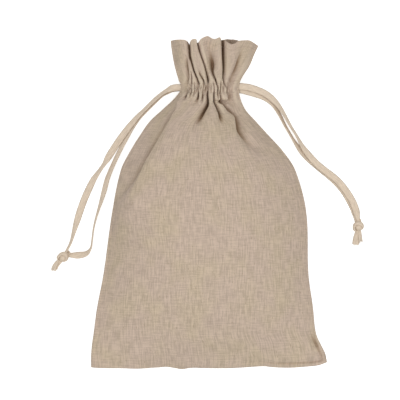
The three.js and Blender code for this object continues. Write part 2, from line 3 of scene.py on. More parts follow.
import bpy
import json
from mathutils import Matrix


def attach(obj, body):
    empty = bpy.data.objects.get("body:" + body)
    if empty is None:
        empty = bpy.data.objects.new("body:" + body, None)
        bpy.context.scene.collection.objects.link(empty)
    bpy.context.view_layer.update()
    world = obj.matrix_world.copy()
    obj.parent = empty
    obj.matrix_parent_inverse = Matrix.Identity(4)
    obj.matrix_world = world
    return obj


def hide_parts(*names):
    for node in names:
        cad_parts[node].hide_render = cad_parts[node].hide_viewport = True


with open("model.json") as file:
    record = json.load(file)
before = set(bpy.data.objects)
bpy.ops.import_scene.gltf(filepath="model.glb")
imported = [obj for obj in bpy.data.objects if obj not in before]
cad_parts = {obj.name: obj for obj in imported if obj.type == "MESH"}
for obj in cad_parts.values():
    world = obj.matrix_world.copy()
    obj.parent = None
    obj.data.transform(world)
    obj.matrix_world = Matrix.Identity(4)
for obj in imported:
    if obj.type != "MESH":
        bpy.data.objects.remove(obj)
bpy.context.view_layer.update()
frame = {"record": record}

import json
import math

import bpy
import numpy as np
from bpy.props import FloatProperty, FloatVectorProperty, IntProperty, PointerProperty

bl_info = {
    "name": "Drawstring Pouch",
    "version": (1, 0, 0),
    "blender": (4, 5, 0),
    "location": "3D View > Sidebar > Pouch",
    "description": "Builds a woven drawstring pouch with its tapes, knots and stitching",
    "category": "Object",
}

MM = 0.001
UP = np.array([0, 0, 1])
SLOT_COLOURS = {row["slot"]: tuple(row["base_color"]) for row in frame["record"]["materials"]}


def table(columns, rows):
    """A short table as one array for each named column."""
    return dict(zip(columns.split(), np.array(rows, dtype=float).T))


# The pouch's form in millimetres: X across it, Y towards its mouth, Z up from the surface
BOTTOM_Y = -141
MOUTH_Y = 139
CASING_Y = 98
FLAT_WIDTH = 200
FLAT_LENGTH = 300

# Cross sections from the bottom seam to the mouth: the side seams, the front's highest point,
# the seams' height and the back's lowest point
SECTIONS = table("y left right crown seam belly", [
    (-141, -100.4, 101.3, 3.6, 2.5, 1),
    (-138, -100.4, 100.9, 6.2, 2.5, 0.6),
    (-131, -100.4, 99.6, 11.8, 3, 0),
    (-121, -99.6, 95.6, 20, 4.5, 0),
    (-110, -98, 91.5, 28, 6.5, 0),
    (-90, -95.3, 89.3, 39, 10, 0),
    (-60, -89.5, 85.2, 49, 14, 0),
    (-8, -82.2, 83.4, 55, 17.5, 0),
    (28, -74.8, 74, 52, 18, 0),
    (44, -67, 63.6, 48.5, 17.5, 0),
    (59, -57.7, 50, 43.5, 16, 0),
    (70, -49.8, 40, 38.5, 14.5, 0.3),
    (80, -39, 31.2, 33.5, 13.4, 0.8),
    (90, -28.6, 27, 29.5, 13, 1.5),
    (98, -23.4, 26, 27, 13, 2),
    (105, -25.5, 27.6, 26.5, 13, 1.8),
    (118, -29, 34.8, 27, 12.5, 1),
    (132, -31.5, 39.6, 28, 12, 0.4),
    (139, -32.3, 42.4, 28, 12, 0.2),
])
SECTION_SAMPLES = 700

# How far in from the left seam the front panel's shoulder is creased
SHOULDER_RIDGE = table("y inset", [
    (-24, 1.4), (-6, 1.6), (2.6, 3.8), (11, 9), (20, 13.2), (28, 15.2), (44, 16.3), (59, 15.9),
    (70, 14.6), (80, 9.8), (88, 4.6), (96, 1.4),
])

# How the panels bulge between their seams
DOME_POWER = 2.6
SIDE_SLOPE = 3
SIDE_BLEND = 3
SIDE_INSET = 0.8
SHOULDER_Y = 54
SHOULDER_FROM = (-46, 40)
SHOULDER_UNTIL = (86, 99)
SHOULDER_POWER = 14
SHOULDER_FALL = 0.28
SHOULDER_FALL_POWER = 1.7
SHOULDER_BLEND = 0.4
HEADING_POWER = 3.5
HEADING_RISE = (100, 122)
BELLY_FLAT = 0.62
NECK_FLAT = 0.15
BELLY_POWER = 1.7
FOLD_LIMIT = 0.9
FOLD_INSIDE = (1, 6)
LEAST_ROOM = 0.001
CREASE_TIP = 0.15
TROUGH_WIDTH = 1.6
SLANT_STEP = 0.5
SLOT_SHARE = 0.68
SLOT_WIDTH = 0.6
SLOT_POWER = 3.5
ROUND_WIDTH = 2.1
NARROW_WIDTHS = (1, 2.2)
# Crease depths over which the painted shade in the creases and the painted highlight on the crests fade
# in
CREASE_SHADE_DEPTHS = (0.4, 3.6)
CREST_HIGHLIGHT_DEPTHS = (-0.1, -0.9)

# The painted shade of a crease: its depth under the cloth within reach of it, times a share, less an
# offset
RELIEFS = table("reach share offset", [
    (2.6, 1, 0),
    (5, 1, 0.9),
    (10, 0.9, 0.4),
])

# The turned seam edge, the line pressed inside it and the fold at the lower right corner
RIM_HALF = 1.1
RIM_ROUND = 1.4
RIM_WIDTH = 3.8
RIM_GROOVE = 1.6
RIM_GROOVE_WIDTH = 0.9
RIM_GROOVE_X = (10, 70)
RIM_GROOVE_Y = (-122, -106)
CORNER_FOLD = (94, -119)
CORNER_FOLD_SIZE = (8, 8)
CORNER_FOLD_DEPTH = 1.9
CORNER_FOLD_INSIDE = 3
# Share of the pressed line's and the corner fold's depth added to the painted shade
GROOVE_SHADE = 0.9

# Slots in the side seams at the casing, where the tapes come out
SLOT_HALF_LENGTH = 5.2
SLOT_END = 1.8
SLOT_LIFT = 1.6

# Rows of the panels' grids: the spacing up to each height, closer together where the cloth is gathered
ROW_BANDS = table("until spacing", [
    (-140, 0.25), (-136, 0.6), (-100, 2.8), (-6, 7.2), (66, 2), (80, 1.1), (90, 0.75), (106, 0.62),
    (132, 1.1), (138, 0.5), (139, 0.2),
])
COLUMNS = 290
CREST_SHARE = 0.45

# Edges of the mouth and the bottom seam as they lie
FRONT_MOUTH = table("x y", [
    (-32, 138.6), (-27, 139.2), (-21, 139), (-19.2, 137.8), (-17.5, 134.6), (-15.6, 138),
    (-13.4, 139.5), (-10.2, 139.3), (-8.6, 136.4), (-7, 139), (-4.4, 140.8), (-0.8, 142), (2.2, 140.3),
    (5, 139.5), (8, 140.4), (10.3, 141), (11.8, 138.6), (13.6, 138.6), (15, 137.8), (17.5, 136),
    (19.8, 135.2), (22.5, 135.8), (25.5, 137.7), (30, 138.3), (35.5, 138.2), (39, 136.2),
    (42.4, 134.2),
])
BACK_MOUTH = table("x y", [
    (-32, 138), (-26, 136), (-18, 132.6), (-8, 133.4), (3, 136.6), (13.7, 139.6), (18.4, 139.8),
    (24.5, 139.3), (27.5, 138), (32, 137.2), (38, 135.2), (42.4, 133.6),
])
BOTTOM_EDGE = table("share lift", [
    (0, 0.5), (0.03, -0.1), (0.13, -0.3), (0.19, -0.7), (0.233, -0.3), (0.284, 0.4), (0.322, 0.9),
    (0.36, -0.3), (0.385, -1.1), (0.411, -0.3), (0.44, 0.1), (0.48, -0.2), (0.59, -0.2), (0.64, 0.3),
    (0.69, 1), (0.735, 1.4), (0.77, 0.6), (0.843, 0.2), (0.894, 0.8), (0.945, 1.7), (0.97, 2.6),
    (1, 4.9),
])
BOTTOM_EDGE_REACH = 24

# Creases of the front panel, from the mouth down: place, depth and width. A negative depth is a ridge.
# A crease that leans runs in under the lobe on its left, or on its right where the lean is negative
CREASE_COLUMNS = "y x depth width lean"
FRONT_CREASES = {
    "first_notch": [
        (139, -17.9, 9, 1.7, 0), (133.4, -17.1, 9, 1.5, 0), (125.7, -16, 7.5, 1.2, 0.1),
        (118.8, -14.1, 7, 1.1, 0.15), (112, -12.4, 7, 1, 0.15), (105.6, -10.2, 7.5, 1, 0.1),
        (102.6, -9.2, 7, 1.05, 0.05), (100.4, -8.7, 2.2, 0.7, 0), (96, -8.6, 2.4, 0.7, 0),
        (92, -8.9, 6, 1, 0), (89.2, -9.4, 6.5, 1.25, 0), (84, -11.5, 0, 2, 0),
    ],
    "first_lobe_edge": [
        (128, -19, 0, 1.6, 0), (121, -19.4, 4.5, 1.9, 0.1), (116.3, -19.5, 6.5, 1.9, 0.1),
        (107.7, -19, 6, 1.6, 0.05), (102, -19.2, 4.5, 0.9, 0), (98.3, -19.8, 2.4, 0.75, 0),
        (94.5, -19.8, 5, 1, 0), (91.5, -19.9, 6.5, 1.25, 0), (87, -20.6, 0, 1.8, 0),
    ],
    "second_gather": [
        (114, -15.6, 0, 0.8, 0), (106, -15.4, 4.6, 0.85, 0), (103, -15.5, 4.4, 0.85, 0),
        (98.3, -15.4, 2.4, 0.7, 0), (94.5, -15.2, 4.2, 0.85, 0), (91, -15.8, 2.4, 1, 0),
        (88, -17, 0, 1.2, 0),
    ],
    "third_gather": [
        (104.5, -13, 0, 0.7, 0), (100, -12.4, 2.4, 0.65, 0), (95, -12.4, 2.6, 0.7, 0),
        (90.5, -13, 0, 1, 0),
    ],
    "fourth_gather": [
        (114, -8.4, 0, 0.7, 0), (109.9, -7.5, 4, 0.8, 0), (106, -5.5, 6, 0.9, 0),
        (103.5, -4.3, 5.5, 0.9, 0), (99.5, -4.5, 2, 0.65, 0), (95, -5, 2.8, 0.75, 0),
        (90, -5.3, 4.4, 0.9, 0), (84, -6.2, 0, 1.3, 0),
    ],
    "second_notch": [
        (139, -8.9, 7, 1, 0.2), (134.2, -7.9, 6, 0.85, 0.25), (125.2, -6, 5, 0.78, 0.25),
        (116.7, -3.3, 5, 0.82, 0.2), (110, -1.2, 6.5, 0.95, 0.15), (107, -0.5, 9, 1.15, 0.1),
        (104, -0.2, 9, 1.2, 0.05), (101, -0.5, 2, 0.65, 0), (96, -0.8, 2, 0.65, 0),
        (91.5, -1, 7.5, 1.05, -0.05), (84, -2, 11, 1.6, -0.25), (78.1, -5.6, 11, 1.75, -0.35),
        (73.1, -8.3, 8, 2, -0.35), (66, -11.8, 2.4, 3.2, -0.3), (54, -15.5, 0, 5, 0),
    ],
    "wide_lobe_dip": [
        (139, -2, 3, 4.2, 0), (133, -0.6, 4.2, 4, 0), (128, 1.2, 5.2, 3.6, 0), (123, 2, 7, 3, -0.1),
        (118.8, 2.2, 10.5, 2.4, -0.15), (115, 2.3, 11, 2, -0.15), (111, 3, 8.5, 1.4, -0.1),
        (107.5, 4.4, 7, 1.1, -0.1), (105.2, 5.7, 6.5, 1, -0.1), (101.5, 7.2, 4, 0.8, 0),
        (98.3, 8.2, 2.4, 0.7, 0), (92, 8.8, 3.2, 0.8, 0), (86, 9, 0, 1.1, 0),
    ],
    "sixth_gather": [
        (105, 4.1, 0, 0.7, 0), (101, 4.6, 2, 0.65, 0), (96, 5, 2.2, 0.65, 0), (92.5, 4.9, 5.5, 0.9, 0),
        (89, 5.3, 7.5, 1.05, 0.05), (85.2, 6.8, 10, 1.35, 0.2), (80.2, 10, 10.5, 1.55, 0.25),
        (74.8, 12.2, 8, 1.9, 0.3), (67, 12.7, 2, 3, 0.3), (56, 12.4, 0, 5, 0),
    ],
    "right_pit": [
        (105, 11.2, 0, 0.7, 0), (101, 11, 2.2, 0.7, 0), (96, 10.8, 2.4, 0.7, 0),
        (92, 11, 3.6, 0.85, 0), (88.6, 12, 6, 1.1, 0), (86.4, 13.8, 16, 2.4, 0),
        (83.8, 16.2, 9, 1.6, 0.15), (79.5, 20.6, 8, 1.7, 0.3), (75, 26.2, 8, 2, 0.4),
        (68, 28.4, 8, 2.3, 0.4), (62, 29.6, 7.5, 2.6, 0.4), (55.6, 33, 5.5, 2.8, 0.4),
        (49, 38, 4, 3.2, 0.4), (41, 45, 0, 4, 0),
    ],
    "deep_crease": [
        (139, 13.1, 12, 1.55, 0.2), (122.3, 13.8, 12, 1.45, 0.25), (110, 14.3, 11, 1.4, 0.25),
        (106.9, 14.3, 9.5, 1.3, 0.2), (102, 14.8, 5.5, 0.95, 0.1), (98.3, 16.2, 2.8, 0.75, 0),
        (95.4, 17.6, 2.8, 0.8, 0), (89, 18.8, 0, 1.1, 0),
    ],
    "last_lobe_dip": [
        (139, 30, 0.8, 6, 0), (129.4, 29.6, 3.6, 4.2, 0), (120.6, 27.6, 8, 3.2, -0.05),
        (113.7, 25.4, 11, 3, -0.15), (110, 24, 12.5, 2.7, -0.2), (106.9, 22.6, 12, 2.3, -0.25),
        (104.3, 21.4, 10, 1.8, -0.2), (101.7, 20.9, 6, 1.4, -0.1), (98.3, 20.9, 2.8, 0.95, 0),
        (93, 20.6, 6, 1.4, 0), (88, 21, 8, 1.9, 0), (84, 23, 5, 2.6, 0), (77, 26, 0, 4, 0),
    ],
    "shoulder_tuck": [
        (87, -28, 0, 2.4, 0), (80, -32, 3, 3, 0), (70, -38.4, 5, 3.6, -0.1), (59, -45.2, 6, 4, -0.1),
        (44, -54.4, 6, 4, -0.1), (28, -63.4, 5.5, 4, -0.1), (16, -69.8, 4, 3.6, -0.1),
        (6, -76, 2, 3, 0), (-4, -80, 0, 2.4, 0),
    ],
    "right_shoulder_ridge": [
        (79, 20.8, 0, 2, 0), (74, 22, -0.9, 2.2, 0), (62, 23.2, -0.9, 3, 0), (53, 29, -0.6, 4, 0),
        (42, 36, 0, 5, 0),
    ],
    "corner_crease": [
        (-104, 88, 0, 2, 0), (-112, 90, 3, 2, 0.3), (-118, 91.4, 5, 2, 0.4), (-124, 92.4, 4.5, 2, 0.4),
        (-130, 93, 2.5, 2, 0.3), (-136, 93, 0, 2, 0),
    ],
}

# Fine tucks of the front panel in its casing: place, how far each runs up and down, depth and width
CASING_TUCKS = table("x up down depth width", [
    (-17.4, 4, 5, 2.4, 0.6),
    (-10.6, 5, 4, 2.2, 0.6),
    (-6.7, 4, 6, 2.2, 0.6),
    (-2.7, 5, 5, 2.4, 0.6),
    (2.1, 5, 7, 2.4, 0.6),
    (13.3, 4, 6, 2.4, 0.65),
    (18.8, 4, 5, 2.6, 0.7),
    (23.4, 5, 4, 2, 0.8),
])

# Folds of the back panel: shares of its width at the mouth, in the casing and where each ends below it
BACK_FOLDS = table("mouth casing end mouth_depth casing_depth reach width", [
    (0.11, 0.11, 0.09, 4, 6, 18, 0.8),
    (0.20, 0.18, 0.16, 7, 7, 34, 0.9),
    (0.27, 0.26, 0.24, 6, 7, 22, 0.8),
    (0.36, 0.34, 0.33, 8, 7.5, 42, 0.9),
    (0.43, 0.43, 0.42, 6, 7, 25, 0.8),
    (0.52, 0.50, 0.51, 9, 7.5, 46, 0.9),
    (0.59, 0.59, 0.60, 6, 7, 26, 0.8),
    (0.68, 0.66, 0.68, 8, 7.5, 38, 0.9),
    (0.75, 0.75, 0.77, 6, 7, 22, 0.8),
    (0.84, 0.82, 0.84, 7, 7, 32, 0.9),
    (0.91, 0.90, 0.91, 4, 5, 16, 0.8),
])
FOLD_END_SPREAD = 2

# Puffs of cloth below the casing: place, half sizes and height, where a negative height is a hollow
FRONT_PUFFS = table("x y half_x half_y height", [
    (-15, 90.3, 4.4, 3.2, 2.2),
    (-14.4, 85, 4.8, 1.5, -1.1),
    (-7.2, 88.6, 1.6, 3.4, 1),
    (-7, 83.6, 2, 1.4, -0.7),
    (16, 88.4, 1.8, 4, 1.2),
    (2.4, 82, 2.6, 9, 0.7),
    (25, 81, 3.4, 3.2, 1.1),
    (-21, 84, 3, 5, 0.8),
])

# The casing draws the cloth in along its two rows of stitches and swells over the tape between them
CASING_STITCH_ROWS = (94.2, 101.8)
CASING_PINCH = 0.35
CASING_PINCH_WIDTH = 1.2
CASING_SWELL = 0.5
CASING_SWELL_WIDTH = 2.4
CASING_DRAW_INSIDE = (2, 8)

# The hem's step, its line of stitches and its rounded edge, and the thin cloth at the sewn edges
HEM_STEP_HALF = 0.4
HEM_PINCH = 0.15
HEM_PINCH_WIDTH = 0.5
HEM_INSIDE = (1, 3)
HEM_RISE = 0.8
HEM_THICKER = 0.8
MOUTH_EDGE = 0.15
MOUTH_ROUND = 0.8
EDGE_THICKNESS = 0.06
EDGE_SHARE = 0.8

# Small gathers between the main ones, placed at random
GATHER_SEED = 11
GATHER_DEPTHS = (0.8, 2.4)
GATHER_WIDTHS = (0.6, 1)
GATHER_REACHES = (4, 15)
GATHER_SHARES = (0.07, 0.93)

# Slow unevenness of the lying cloth
WAVE_SEED = 5
WAVE_COUNT = 14
WAVE_PITCHES = (0.7, 1.8)
WAVE_INSIDE = (2, 20)

# Centrelines of the tapes: place, height and roll, where a roll of 0 lies flat and 90 stands on edge
ROUTE_COLUMNS = "x y z roll"
TAPE_ROUTES = {
    "left_tape_outer": [
        (-20, 98.4, 13.68, 0), (-25, 98.4, 13.68, 0), (-27.5, 98.4, 13.75, 0), (-31.8, 97.8, 13.6, 28),
        (-35.2, 96.2, 12.6, 50), (-39.8, 93.3, 11.1, 58), (-45.2, 88.9, 9, 56), (-49.2, 85.1, 7.4, 56),
        (-53, 81.3, 6, 56), (-56.6, 77.8, 5, 54), (-60.2, 74.2, 4.3, 48), (-67.6, 65.4, 3.2, 28),
        (-73.6, 57.4, 2.8, 16), (-77.8, 51.4, 2.6, 10), (-84.8, 40.4, 2.5, 10), (-89.2, 33.2, 3, 52),
        (-93.6, 27, 3, 52), (-98.4, 19.8, 2.4, 30), (-102.6, 11.3, 1.4, 10), (-106, 3.5, 0.8, 0),
        (-109.5, -6, 0.7, 0), (-112.3, -15, 1.9, 24), (-114.9, -24, 2.9, 50), (-117.4, -33, 3.3, 66),
        (-120.9, -40.9, 3.4, 66),
    ],
    "left_tape_inner": [
        (-20, 98.2, 12.35, 0), (-25, 98.2, 12.33, 0), (-27.5, 98.1, 11.95, 0), (-31.7, 97, 10.8, 28),
        (-34.5, 94.9, 10.5, 50), (-39, 92.3, 9.7, 58), (-44.2, 87.9, 7.9, 56), (-48.2, 84.1, 6.3, 56),
        (-52, 80.3, 5, 56), (-55.6, 76.8, 3.9, 54), (-59.2, 73.3, 3.2, 48), (-65.6, 65, 2.5, 34),
        (-70.2, 56.2, 2.5, 40), (-73.4, 49.6, 2.9, 50), (-76.4, 43.6, 2.9, 50), (-78.9, 38.4, 2.9, 50),
        (-81.6, 32.6, 2.9, 50), (-84, 27, 2.9, 48), (-86.8, 19.6, 2.8, 44), (-89, 11, 2.7, 42),
        (-91.4, 2.6, 2.9, 54), (-94, -6, 3.1, 68), (-96.5, -14.5, 3.2, 76), (-98.3, -23, 3.2, 80),
        (-99.4, -32, 3.2, 80), (-100.6, -38.8, 3.2, 74), (-104.4, -43.2, 2.5, 42),
        (-111, -44.6, 1.8, 14), (-118.5, -44.7, 1.9, 0),
    ],
    "right_tape_outer": [
        (22, 99.3, 13.68, 0), (28, 99.3, 13.68, 0), (34.5, 98.5, 13.2, 0), (41, 96.6, 11.9, -4),
        (47.5, 93.8, 10.2, -10), (53, 90.2, 8.5, -22), (57.8, 85.6, 6.9, -38), (61.5, 80.8, 5.8, -50),
        (64.6, 75.8, 4.8, -58), (67.5, 70.4, 4, -62), (70.6, 64.8, 3.4, -66), (74.2, 59.2, 3.3, -68),
        (77.4, 53.6, 3.3, -62), (80.8, 47.6, 3.3, -46), (84.7, 42.4, 3.1, -30), (88.8, 37.4, 2.9, -18),
        (92.8, 33.2, 2.5, -8), (98.4, 28.5, 2.1, -2), (104.6, 23.8, 2, 0), (110.7, 18.6, 2, 0),
        (116.6, 11.6, 2, 0), (121.4, 4.4, 2.2, 0), (124.6, -2.2, 2.8, 0), (126.6, -8.4, 3.5, 0),
        (127.6, -13.9, 3.9, 0),
    ],
    "right_tape_inner": [
        (22, 96.8, 12.4, 0), (28, 96.4, 12.4, 0), (34.5, 94.8, 11.7, 0), (41, 92.9, 10.3, -4),
        (47, 90.8, 8.6, -10), (52, 87.8, 6.8, -22), (55.4, 84.4, 5.6, -38), (58, 80.4, 4.6, -50),
        (60.6, 75.8, 3.8, -58), (63, 71, 3.3, -62), (65.9, 65.2, 3.2, -66), (69.2, 59.6, 3.2, -68),
        (72.6, 53.8, 3.2, -64), (76.2, 48.4, 3, -50), (80.2, 43.4, 2.3, -32), (85, 38.6, 1.5, -16),
        (91, 33.4, 0.9, -4), (96.5, 28.8, 0.65, 0), (101.8, 24.5, 0.6, 0), (107.2, 19.8, 0.6, 0),
        (112.4, 14.4, 0.6, 0), (117, 8.4, 0.6, 0), (121, 1.4, 0.8, 0), (124.2, -5.2, 1.5, 0),
        (125.6, -9.8, 2.1, 0), (126.4, -14.3, 2.5, 0),
    ],
}
TAPE_STEP = 1.2
TAPE_SECTION = 11
TAPE_CUP = 0.25
TAPE_EDGE_ROUND = 6
PINCH_LENGTH = 10
PINCH_WIDTH = 0.55
PINCH_CUP = 0.9
KNOT_TUCK = 2.4
TAIL_PINCH_LENGTH = 12
FRAY_SEED = 3
FRAY_COUNT = 9
FRAY_LENGTHS = (0.8, 2)
FRAY_RADIUS = 0.11
FRAY_SPREAD = 0.35
FRAY_SIDE = 0.7
FRAY_ROW = 0.9
FRAY_ROOT = 0.4
FRAY_RISE = 0.1
FRAY_POINTS = 5
FRAY_SIDES = 5

# Knots: the lump's centre, its half sizes along its axis, aside and up, the bearing of that axis,
# and the routes of its two tails
KNOTS = {
    "left_knot": {
        "centre": (-123.8, -46, 3.7),
        "half_size": (5.8, 3.8, 3.5),
        "bearing": -136,
        "tails": [
            [(-125, -47.2, 3.2, 40), (-128.8, -50.2, 2.9, 48),
             (-131.4, -53.6, 2.7, 48), (-132.6, -57.4, 2.6, 46)],
            [(-124, -47.4, 2.6, 30), (-127.4, -50.8, 2.4, 40),
             (-129.8, -53.6, 2.5, 46), (-131, -56.4, 2.6, 48)],
        ],
    },
    "right_knot": {
        "centre": (128.2, -19.6, 3.6),
        "half_size": (5, 4.2, 3.4),
        "bearing": -93,
        "tails": [
            [(127.8, -20.4, 3.4, 30), (127, -25.4, 3, 30),
             (126.3, -30.5, 2.2, 14), (125.8, -35.4, 1.5, 4)],
            [(128.4, -20.4, 2.4, -30), (129, -25, 2.6, -46),
             (129.7, -29, 2.9, -58), (130.2, -32.8, 2.9, -58)],
        ],
    },
}

# The knotted pair's turn round itself, as shares of the lump's half sizes: along its axis, aside and up
KNOT_TURN = table("along aside up", [
    (-1.15, -0.05, 0.1), (-0.6, -0.2, -0.1), (0.2, -0.3, -0.35), (0.75, 0.25, -0.3), (0.7, 0.78, 0.15),
    (0.05, 0.86, 0.45), (-0.45, 0.35, 0.72), (-0.35, -0.5, 0.62), (0.1, -0.88, 0.05),
    (0.35, -0.45, -0.62), (0.5, 0.2, -0.5), (0.85, 0.3, 0), (1.2, 0.1, 0),
])
KNOT_STEPS = 90
KNOT_TAPE_WIDTH = 4.4
KNOT_TAPE_THICKNESS = 1.1
KNOT_CUP = 0.4
LEAST_OUT = 1e-6
LUMP_SHARE = 0.88
LUMP_SIDES = 24
LUMP_RINGS = 14
LUMP_POLE = 0.04

# Threads: their sides and taper, and how a row of stitches starts, stops and arches over the cloth
THREAD_SIDES = 6
THREAD_ASIDE = (0.31, 0.17, 0.93)
THREAD_TAPER = 0.8
THREAD_TAPER_POWER = 6
STITCH_START = 4
STITCH_STOP = 6
STITCH_ARCH = (-0.8, 0.5, 0.8, 0.8, 0.5, -0.8)

# Streaks and slubs in the weave: size across and along it in millimetres, shift and detail
STREAK_ROUGHNESS = 0.55
STREAK_DETAIL = 2
WARP_STREAKS = (1.1, 12, 3)
WEFT_STREAKS = (9, 1.1, 40)
CLOUD_STREAKS = (26, 34, 90)
WARP_SLUBS = (1, 4.5, 150, 1)
WEFT_SLUBS = (4.5, 1, 220, 1)
TAPE_STREAKS = (0.8, 5, 20)
THREAD_STREAKS = (0.5, 0.3, 60)

# Where each pattern starts and ends its blend
THREAD_LIMITS = (0.34, 0.66)
CLOUD_LIMITS = (0.35, 0.75)
WARP_SLUB_LIMITS = (0.66, 0.76)
WEFT_SLUB_LIMITS = (0.69, 0.79)
FIBRE_LIMITS = (0.3, 0.7)

# Tints of the colours, and their darker and paler shares
ROSY_TINT = (1.01, 0.99, 1.02)
STRAW_TINT = (0.995, 1, 0.94)
TAPE_TINT = (1, 1, 1.06)
CLOTH_SHADES = (0.84, 1.17)
TAPE_SHADES = (0.98, 1.2)
THREAD_SHADES = (0.8, 1.15)
MOTTLE_SHADES = (1, 1.02)
WARP_SHARE = 0.6
SLUB_SHARE = 0.6
TAPE_EDGE_FROM = 0.8
TAPE_EDGE_SHADE = 0.7
TAPE_EDGE_SHARE = 0.35
RIB_PITCH = 0.9
RIB_TONE = 0.06
MOTTLE_SCALE = 3

# A mix node's sockets for its two colours and its result
MIX_FIRST = 6
MIX_SECOND = 7
MIX_RESULT = 2

# Finishes of the materials
CLOTH_FINISH = {
    "Roughness": 0.92, "Specular IOR Level": 0.15, "Sheen Weight": 0.04, "Sheen Roughness": 0.6}
CLOTH_BUMP = {"Strength": 0.35, "Distance": 0.0002}
CLOTH_STREAK_HEIGHT = 2
TAPE_FINISH = {
    "Roughness": 0.85, "Specular IOR Level": 0.25, "Sheen Weight": 0.08, "Sheen Roughness": 0.5}
TAPE_BUMP = {"Strength": 0.3, "Distance": 0.00015}
TAPE_STREAK_HEIGHT = 1.5
THREAD_FINISH = {"Roughness": 0.7}
FLOOR_FINISH = {"Roughness": 0.9, "Specular IOR Level": 0.1, "Emission Color": (1, 1, 1)}

# The stage in metres: the key light, the height of the surround's horizon and the gap under the pouch
KEY_SIZE = 3
KEY_PLACE = (0.1, -0.35, 2)
HORIZON = (-0.1, 0.1)
FLOOR_GAP = 0.0002

# Units and limits of the properties
LENGTH = {"unit": "LENGTH", "precision": 5}
COLOUR = {"subtype": "COLOR"}
SHARE = {"min": 0, "max": 1}


def track(rows, along, column, at):
    """A smooth curve through one column of a table, read at the given places along another."""
    place = rows[along]
    value = rows[column]
    index = np.arange(len(place))
    before = np.maximum(index - 1, 0)
    after = np.minimum(index + 1, len(place) - 1)
    slope = (value[after] - value[before]) / (place[after] - place[before])
    row = np.clip(np.searchsorted(place, at, side="right") - 1, 0, len(place) - 2)
    span = place[row + 1] - place[row]
    share = np.clip((at - place[row]) / span, 0, 1)
    start = value[row]
    rise = value[row + 1] - start
    leave = slope[row] * span
    arrive = slope[row + 1] * span
    bend = 3 * rise - 2 * leave - arrive
    return start + share * (leave + share * (bend + share * (leave + arrive - 2 * rise)))


def lerp(first, second, share):
    return first + (second - first) * share


def smoothstep(value, low, high):
    share = np.clip((value - low) / (high - low), 0, 1)
    return share * share * (3 - 2 * share)


def smooth_min(first, second, blend):
    near = np.maximum(blend - np.abs(first - second), 0) / blend
    return np.minimum(first, second) - near * near * blend / 4


def unit(vectors):
    return vectors / np.linalg.norm(vectors, axis=-1, keepdims=True)


def path_length(points):
    """Distance along a line of points, from its first."""
    steps = np.linalg.norm(np.diff(points, axis=0), axis=1)
    return np.concatenate(([0], np.cumsum(steps)))


def slow_waves(x, y, size, seed):
    """Even, unrepeating unevenness mostly between -1 and 1, with humps of about the given size."""
    rng = np.random.default_rng(seed)
    total = np.zeros(np.broadcast(x, y).shape)
    for _ in range(WAVE_COUNT):
        heading = rng.uniform(0, 2 * math.pi)
        pitch = size * rng.uniform(*WAVE_PITCHES)
        phase = rng.uniform(0, 2 * math.pi)
        total += np.sin((x * math.cos(heading) + y * math.sin(heading)) * math.pi / pitch + phase)
    return total / math.sqrt(2 * WAVE_COUNT)


def resampled(values, along, at):
    """Values at a line's points, read at the given distances along it."""
    return np.stack([np.interp(at, along, column) for column in values.T], axis=1)


def quarter_round(share):
    """The rise of a rounded edge, from 0 at the edge to 1 where the round ends."""
    return np.sqrt(1 - (1 - np.clip(share, 0, 1)) ** 2)


class PouchCloth(bpy.types.PropertyGroup):
    """Sizes and colours of the cloth"""

    thickness: FloatProperty(
        name="Thickness", description="Thickness of the woven cloth", default=0.0006, **LENGTH)
    hem_depth: FloatProperty(
        name="Hem depth", description="Depth of the turned hem at the mouth", default=0.0055, **LENGTH)
    hem_step: FloatProperty(
        name="Hem step", description="How far the turned hem stands proud", default=0.0004, **LENGTH)
    unevenness: FloatProperty(
        name="Unevenness", description="Height of the cloth's slow humps", default=0.0005, **LENGTH)
    hump_size: FloatProperty(
        name="Hump size", description="Size of the cloth's slow humps", default=0.028, **LENGTH)
    gathers: IntProperty(
        name="Small gathers", description="Small gathers in each panel's neck", default=18, min=0)
    colour: FloatVectorProperty(
        name="Colour", description="Main colour of the cloth", default=SLOT_COLOURS["cloth"], **COLOUR)
    slub_colour: FloatVectorProperty(
        name="Slub colour", description="Colour of the slubs", default=(0.3, 0.22, 0.15), **COLOUR)
    # Painted shade: a dark brown painted into the creases, where they lie in shadow
    crease_shade_colour: FloatVectorProperty(
        name="Crease colour", description="Colour in the creases", default=(0.17, 0.085, 0.03), **COLOUR)
    # Painted highlight: a paler colour painted on the crests, where they catch the light
    crest_highlight_colour: FloatVectorProperty(
        name="Crest colour", description="Colour on the crests", default=(0.66, 0.55, 0.42), **COLOUR)
    # Shares of the painted highlight and the painted shade at their strongest
    crest_highlight_share: FloatProperty(
        name="Crest tint", description="Share of its colour on a sharp crest", default=0.75, **SHARE)
    crease_shade_share: FloatProperty(
        name="Crease tint", description="Share of its colour in a deep crease", default=0.8, **SHARE)
    thread_pitch: FloatProperty(
        name="Thread pitch", description="Spacing of the woven threads", default=0.0007, **LENGTH)


class PouchTape(bpy.types.PropertyGroup):
    """Sizes and colours of the drawstring tapes"""

    width: FloatProperty(name="Width", description="Width of the flat tape", default=0.006, **LENGTH)
    thickness: FloatProperty(
        name="Thickness", description="Thickness of the flat tape", default=0.0008, **LENGTH)
    colour: FloatVectorProperty(
        name="Colour", description="Main colour of the tape", default=SLOT_COLOURS["tape"], **COLOUR)


class PouchStitch(bpy.types.PropertyGroup):
    """Sizes and colour of the sewing thread"""

    length: FloatProperty(
        name="Stitch length", description="Length of one stitch", default=0.0024, **LENGTH)
    spacing: FloatProperty(
        name="Stitch spacing", description="Distance from stitch to stitch", default=0.0032, **LENGTH)
    thread: FloatProperty(
        name="Thread thickness", description="Thickness of the sewing thread", default=0.00035, **LENGTH)
    colour: FloatVectorProperty(
        name="Colour", description="Colour of the sewing thread", default=(0.52, 0.42, 0.32), **COLOUR)


